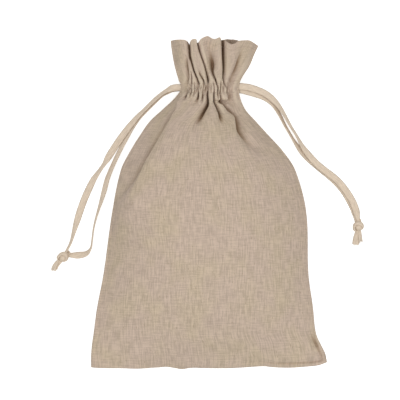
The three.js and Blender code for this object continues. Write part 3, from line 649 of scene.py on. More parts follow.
class PouchStage(bpy.types.PropertyGroup):
    """Camera, lights and floor"""

    view_width: FloatProperty(
        name="View width", description="Width of the picture at the floor", default=0.342, **LENGTH)
    view_centre: FloatVectorProperty(
        name="View centre", description="Point at the middle of the picture", size=2,
        default=(-0.00727, 0.00257), subtype="XYZ_LENGTH")
    camera_height: FloatProperty(
        name="Camera height", description="Height of the camera over the floor", default=6, **LENGTH)
    key_power: FloatProperty(name="Key light", description="Power of the key light in watts", default=20)
    sky_strength: FloatProperty(name="Surround", description="Strength of the surround", default=0.72)
    floor_bounce: FloatProperty(
        name="Light from below", description="Share of light the floor sends back", default=0.7, **SHARE)
    floor_colour: FloatVectorProperty(
        name="Floor colour", description="Colour of the floor", default=(0.92, 0.92, 0.91), **COLOUR)
    floor_glow: FloatProperty(
        name="Floor glow", description="How strongly the floor is lit through from below", default=0.6)
    floor_size: FloatProperty(
        name="Floor size", description="Side of the square floor", default=8, **LENGTH)


def add_object(name, data):
    made = bpy.data.objects.new(name, data)
    bpy.context.scene.collection.objects.link(made)
    return made


def piece_from(name, points, faces, places, material, shade_relief=None):
    """A smooth mesh object from points in millimetres, its UVs their places on the flat cloth."""
    mesh = bpy.data.meshes.new(name)
    mesh.from_pydata((np.asarray(points) * MM).tolist(), [], faces)
    mesh.update()
    threads = mesh.uv_layers.new(name="threads")
    corners = np.empty(len(mesh.loops), dtype=np.int64)
    mesh.loops.foreach_get("vertex_index", corners)
    flat = np.asarray(places) / FLAT_WIDTH
    threads.data.foreach_set("uv", flat[corners].astype(np.float32).ravel())
    mesh.polygons.foreach_set("use_smooth", np.ones(len(mesh.polygons), dtype=bool))
    # The crease depth kept on the points sets the cloth's painted shade and painted highlight
    if shade_relief is not None:
        crease = mesh.attributes.new("crease", "FLOAT", "POINT")
        crease.data.foreach_set("value", np.asarray(shade_relief, dtype=np.float32))
    mesh.materials.append(material)
    return add_object(name, mesh)


def join_parts(parts):
    """One set of points, faces and places from several."""
    points = []
    faces = []
    places = []
    for part_points, part_faces, part_places in parts:
        offset = sum(len(group) for group in points)
        points.append(part_points)
        faces.extend([[corner + offset for corner in face] for face in part_faces])
        places.append(part_places)
    return np.concatenate(points), faces, np.concatenate(places)


def grid_faces(rows, columns, first=0, flip=False):
    """Quads of a grid of points."""
    corner = (np.arange(rows - 1)[:, None] * columns + np.arange(columns - 1)[None, :]).ravel() + first
    quads = np.stack([corner, corner + 1, corner + columns + 1, corner + columns], axis=1)
    return (quads[:, ::-1] if flip else quads).tolist()


def tube_faces(rings, sides):
    """Faces between rings of points that follow each other, with the first and last ring closed."""
    faces = []
    for start in range(0, (rings - 1) * sides, sides):
        for side in range(sides):
            after = (side + 1) % sides
            faces.append([start + side, start + after, start + sides + after, start + sides + side])
    faces.append(list(range(sides - 1, -1, -1)))
    faces.append(list(range((rings - 1) * sides, rings * sides)))
    return faces


def feed(tree, socket, value):
    """Gives a socket another node's output, a colour or a plain value."""
    if isinstance(value, bpy.types.NodeSocket):
        tree.links.new(value, socket)
    elif socket.type == "RGBA":
        socket.default_value = (*value, 1)
    else:
        socket.default_value = value


def add_node(tree, kind, inputs=(), **settings):
    """A shader node with its settings and what its inputs are fed."""
    made = tree.nodes.new(kind)
    for key, value in settings.items():
        setattr(made, key, value)
    for key, value in dict(inputs).items():
        feed(tree, made.inputs[key], value)
    return made


def add_math(tree, operation, first, second=0.0):
    return add_node(tree, "ShaderNodeMath", {0: first, 1: second}, operation=operation).outputs[0]


def times(tree, value, share):
    return add_math(tree, "MULTIPLY", value, share)


def new_material(name, finish):
    """A material with its finish, and its node tree and shader."""
    material = bpy.data.materials.new(name)
    material.use_nodes = True
    tree = material.node_tree
    shader = tree.nodes["Principled BSDF"]
    for key, value in finish.items():
        feed(tree, shader.inputs[key], value)
    return material, tree, shader


def flat_millimetres(tree):
    """Place on the flat cloth or tape, in millimetres."""
    place = add_node(tree, "ShaderNodeUVMap", uv_map="threads").outputs["UV"]
    scale = (FLAT_WIDTH, FLAT_WIDTH, FLAT_WIDTH)
    return add_node(tree, "ShaderNodeMapping", {"Vector": place, "Scale": scale}).outputs["Vector"]


def dress(tree, shader, colour, height=None, bump=None):
    """Gives a shader its colour and, where a height is given, its bumps."""
    tree.links.new(colour, shader.inputs["Base Color"])
    if height is not None:
        bumps = add_node(tree, "ShaderNodeBump", {"Height": height, **bump})
        tree.links.new(bumps.outputs["Normal"], shader.inputs["Normal"])


def tinted(colour, tint):
    """A colour times one share, or times a share for each of its channels."""
    return tuple(np.minimum(np.array(colour) * tint, 1).tolist())


def streaks(tree, place, across, along, shift, detail=STREAK_DETAIL):
    """Noise drawn out along one direction of the weave."""
    spread = {"Vector": place, "Location": (shift, shift, shift), "Scale": (1 / across, 1 / along, 1)}
    drawn = add_node(tree, "ShaderNodeMapping", spread).outputs["Vector"]
    noise = {"Vector": drawn, "Scale": 1, "Detail": detail, "Roughness": STREAK_ROUGHNESS}
    return add_node(tree, "ShaderNodeTexNoise", noise).outputs["Fac"]


def ramp(tree, value, low, high):
    limits = {"Value": value, "From Min": low, "From Max": high}
    rise = add_node(tree, "ShaderNodeMapRange", limits, interpolation_type="SMOOTHSTEP")
    return rise.outputs["Result"]


def blend_colour(tree, share, first, second):
    """A colour between two, each a plain colour or another node's output."""
    inputs = {"Factor": share, MIX_FIRST: first, MIX_SECOND: second}
    return add_node(tree, "ShaderNodeMix", inputs, data_type="RGBA").outputs[MIX_RESULT]


def shaded(tree, tone, colour, shares):
    """A colour between its darker and its paler share, by a tone from 0 to 1."""
    return blend_colour(tree, tone, *(tinted(colour, share) for share in shares))


def weave_height(tree, place, pitch):
    """The over and under of a plain weave."""
    split = add_node(tree, "ShaderNodeSeparateXYZ", {"Vector": place})
    warp, weft = (
        add_math(tree, "SINE", times(tree, split.outputs[axis], math.pi / pitch)) for axis in ("X", "Y"))
    return times(tree, warp, weft)


def cloth_material(cloth):
    """Fine slubby plain weave, matt, with darker and lighter threads both ways, painted highlight on its
    crests and painted shade in its creases.
    """
    material, tree, shader = new_material("slubby_cloth", CLOTH_FINISH)
    place = flat_millimetres(tree)
    warp = streaks(tree, place, *WARP_STREAKS)
    weft = streaks(tree, place, *WEFT_STREAKS)
    clouds = streaks(tree, place, *CLOUD_STREAKS)
    threads = add_math(tree, "ADD", times(tree, warp, WARP_SHARE), times(tree, weft, 1 - WARP_SHARE))
    tone = ramp(tree, threads, *THREAD_LIMITS)
    rosy = shaded(tree, tone, tinted(cloth.colour, ROSY_TINT), CLOTH_SHADES)
    straw = shaded(tree, tone, tinted(cloth.colour, STRAW_TINT), CLOTH_SHADES)
    clouded = blend_colour(tree, ramp(tree, clouds, *CLOUD_LIMITS), rosy, straw)
    warp_slubs = ramp(tree, streaks(tree, place, *WARP_SLUBS), *WARP_SLUB_LIMITS)
    weft_slubs = ramp(tree, streaks(tree, place, *WEFT_SLUBS), *WEFT_SLUB_LIMITS)
    slubs = times(tree, add_math(tree, "MAXIMUM", warp_slubs, weft_slubs), SLUB_SHARE)
    flecked = blend_colour(tree, slubs, clouded, cloth.slub_colour)
    # The crease depth paints a highlight on the crests and a dark brown shade deep in the creases
    crease = add_node(tree, "ShaderNodeAttribute", attribute_name="crease").outputs["Fac"]
    crest_highlight = times(tree, ramp(tree, crease, *CREST_HIGHLIGHT_DEPTHS), cloth.crest_highlight_share)
    inside = times(tree, ramp(tree, crease, *CREASE_SHADE_DEPTHS), cloth.crease_shade_share)
    crest_lit = blend_colour(tree, crest_highlight, flecked, cloth.crest_highlight_colour)
    crease_shaded = blend_colour(tree, inside, crest_lit, cloth.crease_shade_colour)
    weave = weave_height(tree, place, cloth.thread_pitch / MM)
    height = add_math(tree, "ADD", weave, times(tree, threads, CLOTH_STREAK_HEIGHT))
    dress(tree, shader, crease_shaded, height, CLOTH_BUMP)
    return material


def tape_material(tape):
    """Cream cotton tape with a fine herringbone and darker edges."""
    material, tree, shader = new_material("cotton_tape", TAPE_FINISH)
    place = flat_millimetres(tree)
    split = add_node(tree, "ShaderNodeSeparateXYZ", {"Vector": place})
    aside = add_math(tree, "ABSOLUTE", split.outputs["X"])
    slant = add_math(tree, "ADD", split.outputs["Y"], aside)
    rib = add_math(tree, "SINE", times(tree, slant, 2 * math.pi / RIB_PITCH))
    fibres = streaks(tree, place, *TAPE_STREAKS)
    tone = add_math(tree, "ADD", fibres, times(tree, rib, RIB_TONE))
    base = shaded(tree, ramp(tree, tone, *FIBRE_LIMITS), tinted(tape.colour, TAPE_TINT), TAPE_SHADES)
    half_width = tape.width / MM / 2
    edge = ramp(tree, aside, half_width * TAPE_EDGE_FROM, half_width)
    edge_colour = tinted(tape.colour, TAPE_EDGE_SHADE)
    edged = blend_colour(tree, times(tree, edge, TAPE_EDGE_SHARE), base, edge_colour)
    height = add_math(tree, "ADD", rib, times(tree, fibres, TAPE_STREAK_HEIGHT))
    dress(tree, shader, edged, height, TAPE_BUMP)
    return material


def thread_material(stitch):
    """Twisted sewing thread."""
    material, tree, shader = new_material("sewing_thread", THREAD_FINISH)
    tone = ramp(tree, streaks(tree, flat_millimetres(tree), *THREAD_STREAKS), *FIBRE_LIMITS)
    dress(tree, shader, shaded(tree, tone, stitch.colour, THREAD_SHADES))
    return material


def floor_material(stage):
    """Plain pale studio surface with the faintest mottle."""
    finish = {**FLOOR_FINISH, "Emission Strength": stage.floor_glow}
    material, tree, shader = new_material("pale_floor", finish)
    place = add_node(tree, "ShaderNodeTexCoord").outputs["Object"]
    mottle = add_node(tree, "ShaderNodeTexNoise", {"Vector": place, "Scale": MOTTLE_SCALE})
    dress(tree, shader, shaded(tree, mottle.outputs["Fac"], stage.floor_colour, MOTTLE_SHADES))
    return material


def slot_lift(y):
    """The seam slots are open over the tapes and closed beyond them."""
    return SLOT_LIFT * (1 - smoothstep(abs(y - CASING_Y) - SLOT_HALF_LENGTH, 0, SLOT_END))


def seam_rim(inside):
    """Half thickness of the turned seam edge, by the distance in from it."""
    return RIM_HALF * quarter_round(inside / RIM_ROUND)


def rim_groove(x, y, inside):
    """The pressed line inside the seam edge, along the bottom and up the right corner, and its fold."""
    where = smoothstep(x, *RIM_GROOVE_X) * (1 - smoothstep(y, *RIM_GROOVE_Y))
    off_x = (x - CORNER_FOLD[0]) / CORNER_FOLD_SIZE[0]
    off_y = (y - CORNER_FOLD[1]) / CORNER_FOLD_SIZE[1]
    corner = np.exp(-(off_x ** 2) - off_y ** 2)
    groove = RIM_GROOVE * where * np.exp(-((inside - RIM_WIDTH) / RIM_GROOVE_WIDTH) ** 2)
    fold = CORNER_FOLD_DEPTH * corner * np.exp(-((inside - CORNER_FOLD_INSIDE) / RIM_GROOVE_WIDTH) ** 2)
    return groove + fold


def unfolded_section(is_front, y):
    """A panel's section at y without folds: x, z, the room to fold in and the distance from the edge."""
    left, right, crown, seam, belly = (
        track(SECTIONS, "y", column, y) for column in ("left", "right", "crown", "seam", "belly"))
    share = np.linspace(0, 1, SECTION_SAMPLES + 1)
    width = right - left
    x = left + width * share
    from_side = np.minimum(x - left, right - x)
    inside = np.minimum(from_side, y - BOTTOM_Y)
    rim = slot_lift(y) + seam_rim(inside)
    from_middle = np.minimum(np.abs(2 * share - 1) * width / (width - 2 * SIDE_INSET), 1)
    if is_front:
        on_left = share < 0.5
        shoulder = smoothstep(y, *SHOULDER_FROM) * (1 - smoothstep(y, *SHOULDER_UNTIL))
        square = np.where(on_left, shoulder, 0)
        top = np.maximum(crown - seam - RIM_HALF - slot_lift(y), 0)
        power = DOME_POWER + SHOULDER_POWER * square + HEADING_POWER * smoothstep(y, *HEADING_RISE)
        fall = SHOULDER_FALL * square * (from_middle ** SHOULDER_FALL_POWER - from_middle ** power)
        dome = top * (1 - from_middle ** power - fall)
        inset = np.interp(y, SHOULDER_RIDGE["y"], SHOULDER_RIDGE["inset"])
        ridge = np.interp(left + inset, x, dome)
        slope = np.where(on_left, np.minimum(ridge / (inset - SIDE_INSET), SIDE_SLOPE), SIDE_SLOPE)
        side = slope * (from_side - SIDE_INSET)
        rise = np.maximum(smooth_min(dome, side, lerp(SIDE_BLEND, SHOULDER_BLEND, square)), 0)
        z = seam + rim + rise - rim_groove(x, y, inside)
    else:
        flat = lerp(BELLY_FLAT, NECK_FLAT, smoothstep(y, SHOULDER_Y, CASING_Y))
        low = np.clip(belly, 0, seam - RIM_HALF)
        turn = np.maximum(from_middle - flat, 0) / (1 - flat)
        drop = (seam - RIM_HALF - slot_lift(y) - low) * (1 - turn ** BELLY_POWER)
        rise = np.maximum(drop, 0)
        z = np.maximum(seam - rim - rise, 0)
    return x, z, rise, inside


def across_pouch(share, y):
    """A height y, and the place x at a share of the pouch's width there."""
    left, right = (track(SECTIONS, "y", column, y) for column in ("left", "right"))
    return y, left + share * (right - left)


def casing_fold(low, middle, high, depth, width, high_depth=0):
    """A fold that is narrowest in the casing, through three places that are each given as y and x."""
    spread = width * FOLD_END_SPREAD
    rows = [(*low, 0, spread, 0), (*middle, depth, width, 0), (*high, high_depth, spread, 0)]
    return table(CREASE_COLUMNS, rows)


def crease_tables(is_front, gathers):
    """All creases of a panel as tables: the main ones and the small random gathers between them."""
    creases = []
    if is_front:
        creases += [table(CREASE_COLUMNS, rows[::-1]) for rows in FRONT_CREASES.values()]
        for x, up, down, depth, width in zip(*CASING_TUCKS.values()):
            places = [(y, x) for y in (CASING_Y - down, CASING_Y, CASING_Y + up)]
            creases.append(casing_fold(*places, depth, width))
    else:
        for mouth, casing, end, mouth_depth, depth, reach, width in zip(*BACK_FOLDS.values()):
            ends = ((end, CASING_Y - reach), (casing, CASING_Y), (mouth, MOUTH_Y))
            places = [across_pouch(share, y) for share, y in ends]
            creases.append(casing_fold(*places, depth, width, mouth_depth))
    rng = np.random.default_rng(GATHER_SEED + is_front)
    for _ in range(gathers):
        share = rng.uniform(*GATHER_SHARES)
        depth = rng.uniform(*GATHER_DEPTHS)
        width = rng.uniform(*GATHER_WIDTHS)
        low = CASING_Y - rng.uniform(*GATHER_REACHES)
        high = CASING_Y + rng.uniform(*GATHER_REACHES)
        places = [across_pouch(share, y) for y in (low, CASING_Y, high)]
        creases.append(casing_fold(*places, depth, width))
    return creases


def crease_profile(off, width):
    """Cross section of a crease: a slot between rounded lobes if narrow, a plain trough if wide."""
    tip = CREASE_TIP + max(width - TROUGH_WIDTH, 0)
    reach = np.sqrt(off * off + tip * tip) - tip
    slot = np.exp(-((np.abs(off) / (width * SLOT_WIDTH)) ** SLOT_POWER))
    lobes = np.exp(-((off / (width * ROUND_WIDTH)) ** 2))
    return lerp(lerp(lobes, slot, SLOT_SHARE), np.exp(-reach / width), smoothstep(width, *NARROW_WIDTHS))


def crease_depth(creases, x, y):
    """How deep the creases press the panel in at places x of the section at y, and how far they lean."""
    depth = np.zeros_like(x)
    leaning = np.zeros_like(x)
    for crease in creases:
        if not crease["y"][0] <= y <= crease["y"][-1]:
            continue
        before, middle, after = (
            track(crease, "y", "x", at) for at in (y - SLANT_STEP, y, y + SLANT_STEP))
        slant = (after - before) / (2 * SLANT_STEP)
        deep, width, lean = (
            np.interp(y, crease["y"], crease[column]) for column in ("depth", "width", "lean"))
        pressed = deep * crease_profile((x - middle) / math.hypot(1, slant), width)
        depth += pressed
        leaning += lean * pressed
    return depth, leaning


def local_relief(x, pressed, reach):
    """How much deeper each point of a section lies than the cloth within reach of it on either side."""
    total = np.concatenate(([0], np.cumsum((pressed[1:] + pressed[:-1]) / 2 * np.diff(x))))
    high = np.minimum(x + reach, x[-1])
    low = np.maximum(x - reach, x[0])
    return pressed - (np.interp(high, x, total) - np.interp(low, x, total)) / (high - low)


def casing_draw(y):
    """How far the casing's stitches draw the cloth in, less how far it swells over the tape."""
    pinch = sum(math.exp(-(((y - row) / CASING_PINCH_WIDTH) ** 2)) for row in CASING_STITCH_ROWS)
    swell = math.exp(-(((y - CASING_Y) / CASING_SWELL_WIDTH) ** 2))
    return CASING_PINCH * pinch - CASING_SWELL * swell


def panel_rows():
    rows = [BOTTOM_Y]
    for until, spacing in zip(ROW_BANDS["until"], ROW_BANDS["spacing"]):
        count = max(round((until - rows[-1]) / spacing), 1)
        rows += np.linspace(rows[-1], until, count + 1)[1:].tolist()
    return np.array(rows)


def fold_depth(creases, x, y, rise, inside):
    """How deep a section is pressed in, how far it is carried aside, and how deep its creases lie, which
    sets the painted shade.
    """
    room = FOLD_LIMIT * rise
    depth, leaning = crease_depth(creases, x, y)
    depth += casing_draw(y) * smoothstep(inside, *CASING_DRAW_INSIDE)
    pressed = np.where(depth > 0, room * np.tanh(depth / np.maximum(room, LEAST_ROOM)), depth)
    pressed *= smoothstep(inside, *FOLD_INSIDE)
    aside = leaning * np.clip(pressed / np.maximum(depth, LEAST_ROOM), 0, 1)
    # The relief of each point sets the painted shade of its creases; the pressed line and the corner
    # fold add to it
    reliefs = []
    for reach, share, offset in zip(*RELIEFS.values()):
        reliefs.append(share * local_relief(x, pressed, reach) - offset)
    shade_relief = np.max(reliefs, axis=0) + GROOVE_SHADE * rim_groove(x, y, inside)
    return pressed, aside, shade_relief


def front_puffs(cloth, x, y, inside):
    """How far the front panel's puffs and slow humps stand out."""
    puffs = np.zeros_like(x)
    for puff_x, puff_y, half_x, half_y, height in zip(*FRONT_PUFFS.values()):
        puffs += height * np.exp(-(((x - puff_x) / half_x) ** 2) - ((y - puff_y) / half_y) ** 2)
    waves = slow_waves(x, y, cloth.hump_size / MM, WAVE_SEED) * smoothstep(inside, *WAVE_INSIDE)
    return puffs - cloth.unevenness / MM * waves


def hem_draw(cloth, y, inside):
    """How far the hem's stitches draw the cloth in, less how far the hem stands proud."""
    over_hem = y - MOUTH_Y + cloth.hem_depth / MM
    pinch = HEM_PINCH * math.exp(-((over_hem / HEM_PINCH_WIDTH) ** 2))
    step = cloth.hem_step / MM * smoothstep(over_hem, -HEM_STEP_HALF, HEM_STEP_HALF)
    return (pinch - step) * smoothstep(inside, *HEM_INSIDE)


def edge_lift(is_front, x, y):
    """How far the uneven edges of the mouth and the bottom seam carry a row up the pouch."""
    mouth = FRONT_MOUTH if is_front else BACK_MOUTH
    share = (x - x[0]) / (x[-1] - x[0])
    towards_mouth = smoothstep(y, CASING_Y, MOUTH_Y)
    towards_bottom = np.clip((BOTTOM_Y + BOTTOM_EDGE_REACH - y) / BOTTOM_EDGE_REACH, 0, 1)
    lift = (track(mouth, "x", "y", x) - MOUTH_Y) * towards_mouth
    return lift + track(BOTTOM_EDGE, "share", "lift", share) * towards_bottom


def panel_line(is_front, creases, cloth, y):
    """One row of a panel's outer face: for each point its place, its distance from the sewn edges,
    its share of the cloth's width and how deep its crease lies, which sets the painted shade."""
    x, z, rise, inside = unfolded_section(is_front, y)
    outward = 1 if is_front else -1
    pressed, aside, shade_relief = fold_depth(creases, x, y, rise, inside)
    if is_front:
        pressed -= front_puffs(cloth, x, y, inside)
    pressed += hem_draw(cloth, y, inside)
    tangent_x = np.gradient(x)
    tangent_z = np.gradient(z)
    length = np.hypot(tangent_x, tangent_z)
    folded_x = x + outward * pressed * tangent_z / length - aside
    folded_z = z - outward * pressed * tangent_x / length
    if not is_front:
        folded_z = np.maximum(folded_z, 0)
    line = np.stack([folded_x, y + edge_lift(is_front, x, y), folded_z], axis=1)
    along = path_length(line)
    # Columns stand closer together on the crests and in the troughs than on the steep sides between them
    crests = path_length(line[:, :1])
    spread = lerp(along / along[-1], crests / crests[-1], CREST_SHARE)
    at = np.interp(np.linspace(0, 1, COLUMNS), spread, along)
    inside, shade_relief = (np.interp(at, along, values) for values in (inside, shade_relief))
    return resampled(line, along, at), inside, at / along[-1], shade_relief


def grid_normals(points, outward):
    """Normals of a grid of points, on the side away from the pouch's inside."""
    across = np.gradient(points, axis=1)
    along = np.gradient(points, axis=0)
    return unit(np.cross(across, along)) * outward


def panel_grid(is_front, cloth):
    """A panel's rows, and each point's place, normal, distance from the sewn edges, share and crease
    depth for the painted shade.
    """
    rows = panel_rows()
    creases = crease_tables(is_front, cloth.gathers)
    lines = [panel_line(is_front, creases, cloth, y) for y in rows]
    points, inside, shares, shade_relief = (np.array(column) for column in zip(*lines))
    return rows, points, grid_normals(points, 1 if is_front else -1), inside, shares, shade_relief


def panel_parts(is_front, cloth, rows, points, normals, inside, shares):
    """The closed sheet of a panel: its outer face, its inner face and the edges between them."""
    hem = smoothstep(rows - MOUTH_Y + cloth.hem_depth / MM, 0, HEM_RISE)
    edge = quarter_round((MOUTH_Y - rows + MOUTH_EDGE) / MOUTH_ROUND)
    full = cloth.thickness / MM * (1 + HEM_THICKER * hem) * edge
    thick = np.minimum(full[:, None], EDGE_THICKNESS + EDGE_SHARE * seam_rim(inside))
    inner = points - normals * thick[:, :, None]
    count, columns = points.shape[:2]
    flat_y = (rows - BOTTOM_Y) / (MOUTH_Y - BOTTOM_Y) * FLAT_LENGTH
    places = np.stack(np.broadcast_arrays(shares * FLAT_WIDTH, flat_y[:, None]), axis=2).reshape(-1, 2)
    size = count * columns
    faces = grid_faces(count, columns, 0, not is_front) + grid_faces(count, columns, size, is_front)
    left = np.arange(count) * columns
    rim_path = np.concatenate([
        np.arange(columns),
        left[1:] + columns - 1,
        left[-1] + np.arange(columns - 2, -1, -1),
        left[-2:0:-1],
    ])
    following = np.roll(rim_path, -1)
    edges = np.stack([rim_path, rim_path + size, following + size, following], axis=1)
    faces += (edges if is_front else edges[:, ::-1]).tolist()
    return np.concatenate([points, inner]).reshape(-1, 3), faces, np.tile(places, (2, 1))


def sweep(centre, across, face, half_width, half_thickness, cup):
    """A flat band swept along a centreline, with closed ends."""
    aside = np.linspace(-1, 1, TAPE_SECTION)
    above = np.sqrt(1 - np.abs(aside) ** TAPE_EDGE_ROUND)
    loop_aside = np.concatenate([aside, aside[-2:0:-1]])
    loop_above = np.concatenate([above, -above[-2:0:-1]])
    wide = half_width[:, None] * loop_aside
    proud = cup[:, None] * (1 - loop_aside ** 2) + half_thickness * loop_above
    points = centre[:, None] + across[:, None] * wide[:, :, None] + face[:, None] * proud[:, :, None]
    places = np.stack(np.broadcast_arrays(wide, path_length(centre)[:, None]), axis=2)
    return points.reshape(-1, 3), tube_faces(*wide.shape), places.reshape(-1, 2)


def route_line(rows, tuck):
    """A tape's centreline at even steps, run on straight by the tuck, with its roll in radians."""
    route = table(ROUTE_COLUMNS, rows)
    route["along"] = path_length(np.stack([route["x"], route["y"], route["z"]], axis=1))
    at = np.linspace(0, route["along"][-1], round(route["along"][-1] / TAPE_STEP) + 1)
    centre = np.stack([track(route, "along", column, at) for column in ("x", "y", "z")], axis=1)
    roll = np.radians(track(route, "along", "roll", at))
    if tuck:
        centre = np.vstack([centre, centre[-1] + unit(centre[-1] - centre[-2]) * tuck])
        roll = np.append(roll, roll[-1])
    return centre, roll


def rolled_frame(centre, roll):
    """Directions across a tape and out of its face, level and then turned by its roll."""
    tangent = unit(np.gradient(centre, axis=0))
    level = unit(np.cross(UP, tangent))
    upright = np.cross(tangent, level)
    across = level * np.cos(roll)[:, None] + upright * np.sin(roll)[:, None]
    return across, np.cross(tangent, across)


def tape_parts(rows, tape, pinch_length, tuck=0, from_start=False):
    """A tape along its route, drawn narrow and cupped at the end, or the start, that is in its knot."""
    centre, roll = route_line(rows, tuck)
    across, face = rolled_frame(centre, roll)
    along = path_length(centre)
    pinch = 1 - smoothstep(along if from_start else along[-1] - along, 0, pinch_length)
    half_width = tape.width / MM / 2 * lerp(1, PINCH_WIDTH, pinch)
    cup = TAPE_CUP + PINCH_CUP * pinch
    return sweep(centre, across, face, half_width, tape.thickness / MM / 2, cup), centre


def rod(line, radius, sides):
    """A thin thread along a line of points, drawn in at its two ends."""
    tangent = unit(np.gradient(line, axis=0))
    aside = unit(np.cross(tangent, THREAD_ASIDE))
    upward = np.cross(tangent, aside)
    share = np.linspace(-1, 1, len(line))
    taper = radius * np.sqrt(1 - THREAD_TAPER * np.abs(share) ** THREAD_TAPER_POWER)
    angle = np.arange(sides) * 2 * math.pi / sides
    ring = aside[:, None] * np.cos(angle)[:, None] + upward[:, None] * np.sin(angle)[:, None]
    points = line[:, None] + ring * taper[:, None, None]
    places = np.stack(np.broadcast_arrays(angle * radius, path_length(line)[:, None]), axis=2)
    return points.reshape(-1, 3), tube_faces(len(line), sides), places.reshape(-1, 2)


def frayed_end(centre, tape):
    """Short loose threads at the cut end of a tail."""
    rng = np.random.default_rng(FRAY_SEED)
    forward = unit(centre[-1] - centre[-3])
    level = unit(np.cross(UP, forward))
    half_width = tape.width / MM / 2 * FRAY_SIDE
    threads = []
    for share in np.linspace(-FRAY_ROW, FRAY_ROW, FRAY_COUNT):
        start = centre[-1] + level * share * half_width - forward * FRAY_ROOT
        lean = level * rng.uniform(-FRAY_SPREAD, FRAY_SPREAD) + UP * rng.uniform(-FRAY_RISE, FRAY_RISE)
        reach = np.linspace(0, rng.uniform(*FRAY_LENGTHS) + FRAY_ROOT, FRAY_POINTS)[:, None]
        line = start + forward * reach + lean * reach ** 2 / FRAY_LENGTHS[1]
        line[:, 2] = np.maximum(line[:, 2], FRAY_RADIUS)
        threads.append(rod(line, FRAY_RADIUS, FRAY_SIDES))
    return threads


def knot_band(centre, axes):
    """The knotted pair's turn round itself."""
    turn = {**KNOT_TURN, "row": np.arange(len(KNOT_TURN["along"]), dtype=float)}
    at = np.linspace(0, turn["row"][-1], KNOT_STEPS)
    local = np.stack([track(turn, "row", column, at) for column in KNOT_TURN], axis=1) @ axes
    line = centre + local
    tangent = unit(np.gradient(line, axis=0))
    out = local - (local * tangent).sum(axis=1, keepdims=True) * tangent
    face = unit(out + LEAST_OUT)
    across = np.cross(face, tangent)
    half_width = np.full(KNOT_STEPS, KNOT_TAPE_WIDTH / 2)
    cup = np.full(KNOT_STEPS, KNOT_CUP)
    return sweep(line, across, face, half_width, KNOT_TAPE_THICKNESS / 2, cup)


def knot_core(centre, axes, half):
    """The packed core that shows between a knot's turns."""
    ring = np.arange(LUMP_SIDES) * 2 * math.pi / LUMP_SIDES
    level = np.linspace(LUMP_POLE, math.pi - LUMP_POLE, LUMP_RINGS)[:, None]
    around = (np.sin(level) * np.cos(ring), np.sin(level) * np.sin(ring), np.cos(level))
    ball = np.stack(np.broadcast_arrays(*around), axis=2).reshape(-1, 3)
    faces = [face[::-1] for face in tube_faces(LUMP_RINGS, LUMP_SIDES)]
    return centre + ball @ axes * LUMP_SHARE, faces, ball[:, :2] * half[:2]


def knot_parts(knot, tape):
    """The knotted pair wound round itself over a packed core, with its two tails."""
    centre = np.array(knot["centre"])
    half = np.array(knot["half_size"])
    bearing = math.radians(knot["bearing"])
    along = (math.cos(bearing), math.sin(bearing), 0)
    aside = (math.sin(bearing), -math.cos(bearing), 0)
    axes = np.array([along, aside, UP]) * half[:, None]
    parts = [knot_band(centre, axes), knot_core(centre, axes, half)]
    for rows in knot["tails"]:
        tail, tail_centre = tape_parts(rows, tape, TAIL_PINCH_LENGTH, from_start=True)
        parts.append(tail)
        parts += frayed_end(tail_centre, tape)
    points, faces, places = join_parts(parts)
    # The knot is pressed flat where it lies on the surface
    points[:, 2] = np.maximum(points[:, 2], 0)
    return points, faces, places


def stitch_parts(rows, points, normals, y, stitch):
    """Stitches along one row of a panel, laid on its outer face."""
    after = int(np.clip(np.searchsorted(rows, y), 1, len(rows) - 1))
    share = (y - rows[after - 1]) / (rows[after] - rows[after - 1])
    line = lerp(points[after - 1], points[after], share)
    outward = unit(lerp(normals[after - 1], normals[after], share))
    along = path_length(line)
    radius = stitch.thread / MM / 2
    arch = np.array(STITCH_ARCH)[:, None] * radius
    parts = []
    for start in np.arange(STITCH_START, along[-1] - STITCH_STOP, stitch.spacing / MM):
        at = np.linspace(start, start + stitch.length / MM, len(STITCH_ARCH))
        path = resampled(line, along, at) + resampled(outward, along, at) * arch
        parts.append(rod(path, radius, THREAD_SIDES))
    return parts


def camera_above(stage):
    """A camera straight above the pouch that takes in the stage's width of view."""
    data = bpy.data.cameras.new("camera_above")
    data.lens = data.sensor_width * stage.camera_height / stage.view_width
    camera = add_object("camera_above", data)
    camera.location = (*stage.view_centre, stage.camera_height)
    return camera


def key_light(stage):
    """A large soft light over the pouch, turned to its middle."""
    data = bpy.data.lights.new("key_light", "AREA")
    data.energy = stage.key_power
    data.size = KEY_SIZE
    light = add_object("key_light", data)
    light.location = KEY_PLACE
    light.rotation_euler = (-light.location).to_track_quat("-Z", "Y").to_euler()
    light.visible_camera = False


def white_surround(stage):
    """An even white surround, with less light from below its horizon."""
    world = bpy.data.worlds.new("white_surround")
    world.use_nodes = True
    tree = world.node_tree
    background = tree.nodes["Background"]
    direction = add_node(tree, "ShaderNodeTexCoord").outputs["Generated"]
    height = add_node(tree, "ShaderNodeSeparateXYZ", {"Vector": direction}).outputs["Z"]
    glow = blend_colour(tree, ramp(tree, height, *HORIZON), (stage.floor_bounce,) * 3, (1, 1, 1))
    feed(tree, background.inputs["Color"], glow)
    feed(tree, background.inputs["Strength"], stage.sky_strength)
    return world


def pale_floor(stage):
    """A square floor just under the pouch."""
    half = stage.floor_size / 2
    corners = [(-half, -half, 0), (half, -half, 0), (half, half, 0), (-half, half, 0)]
    mesh = bpy.data.meshes.new("pale_floor")
    mesh.from_pydata(corners, [], [(0, 1, 2, 3)])
    mesh.materials.append(floor_material(stage))
    floor = add_object("pale_floor", mesh)
    floor.location.z = -FLOOR_GAP
    floor.visible_diffuse = False
    return floor


class POUCH_OT_stage(bpy.types.Operator):
    """Adds the camera straight above the pouch, the soft lights and the pale floor"""

    bl_idname = "pouch.stage"
    bl_label = "Stage"

    def execute(self, context):
        scene = context.scene
        stage = scene.pouch_stage
        scene.view_settings.view_transform = "Standard"
        scene.camera = camera_above(stage)
        key_light(stage)
        scene.world = white_surround(stage)
        pale_floor(stage)
        return {"FINISHED"}


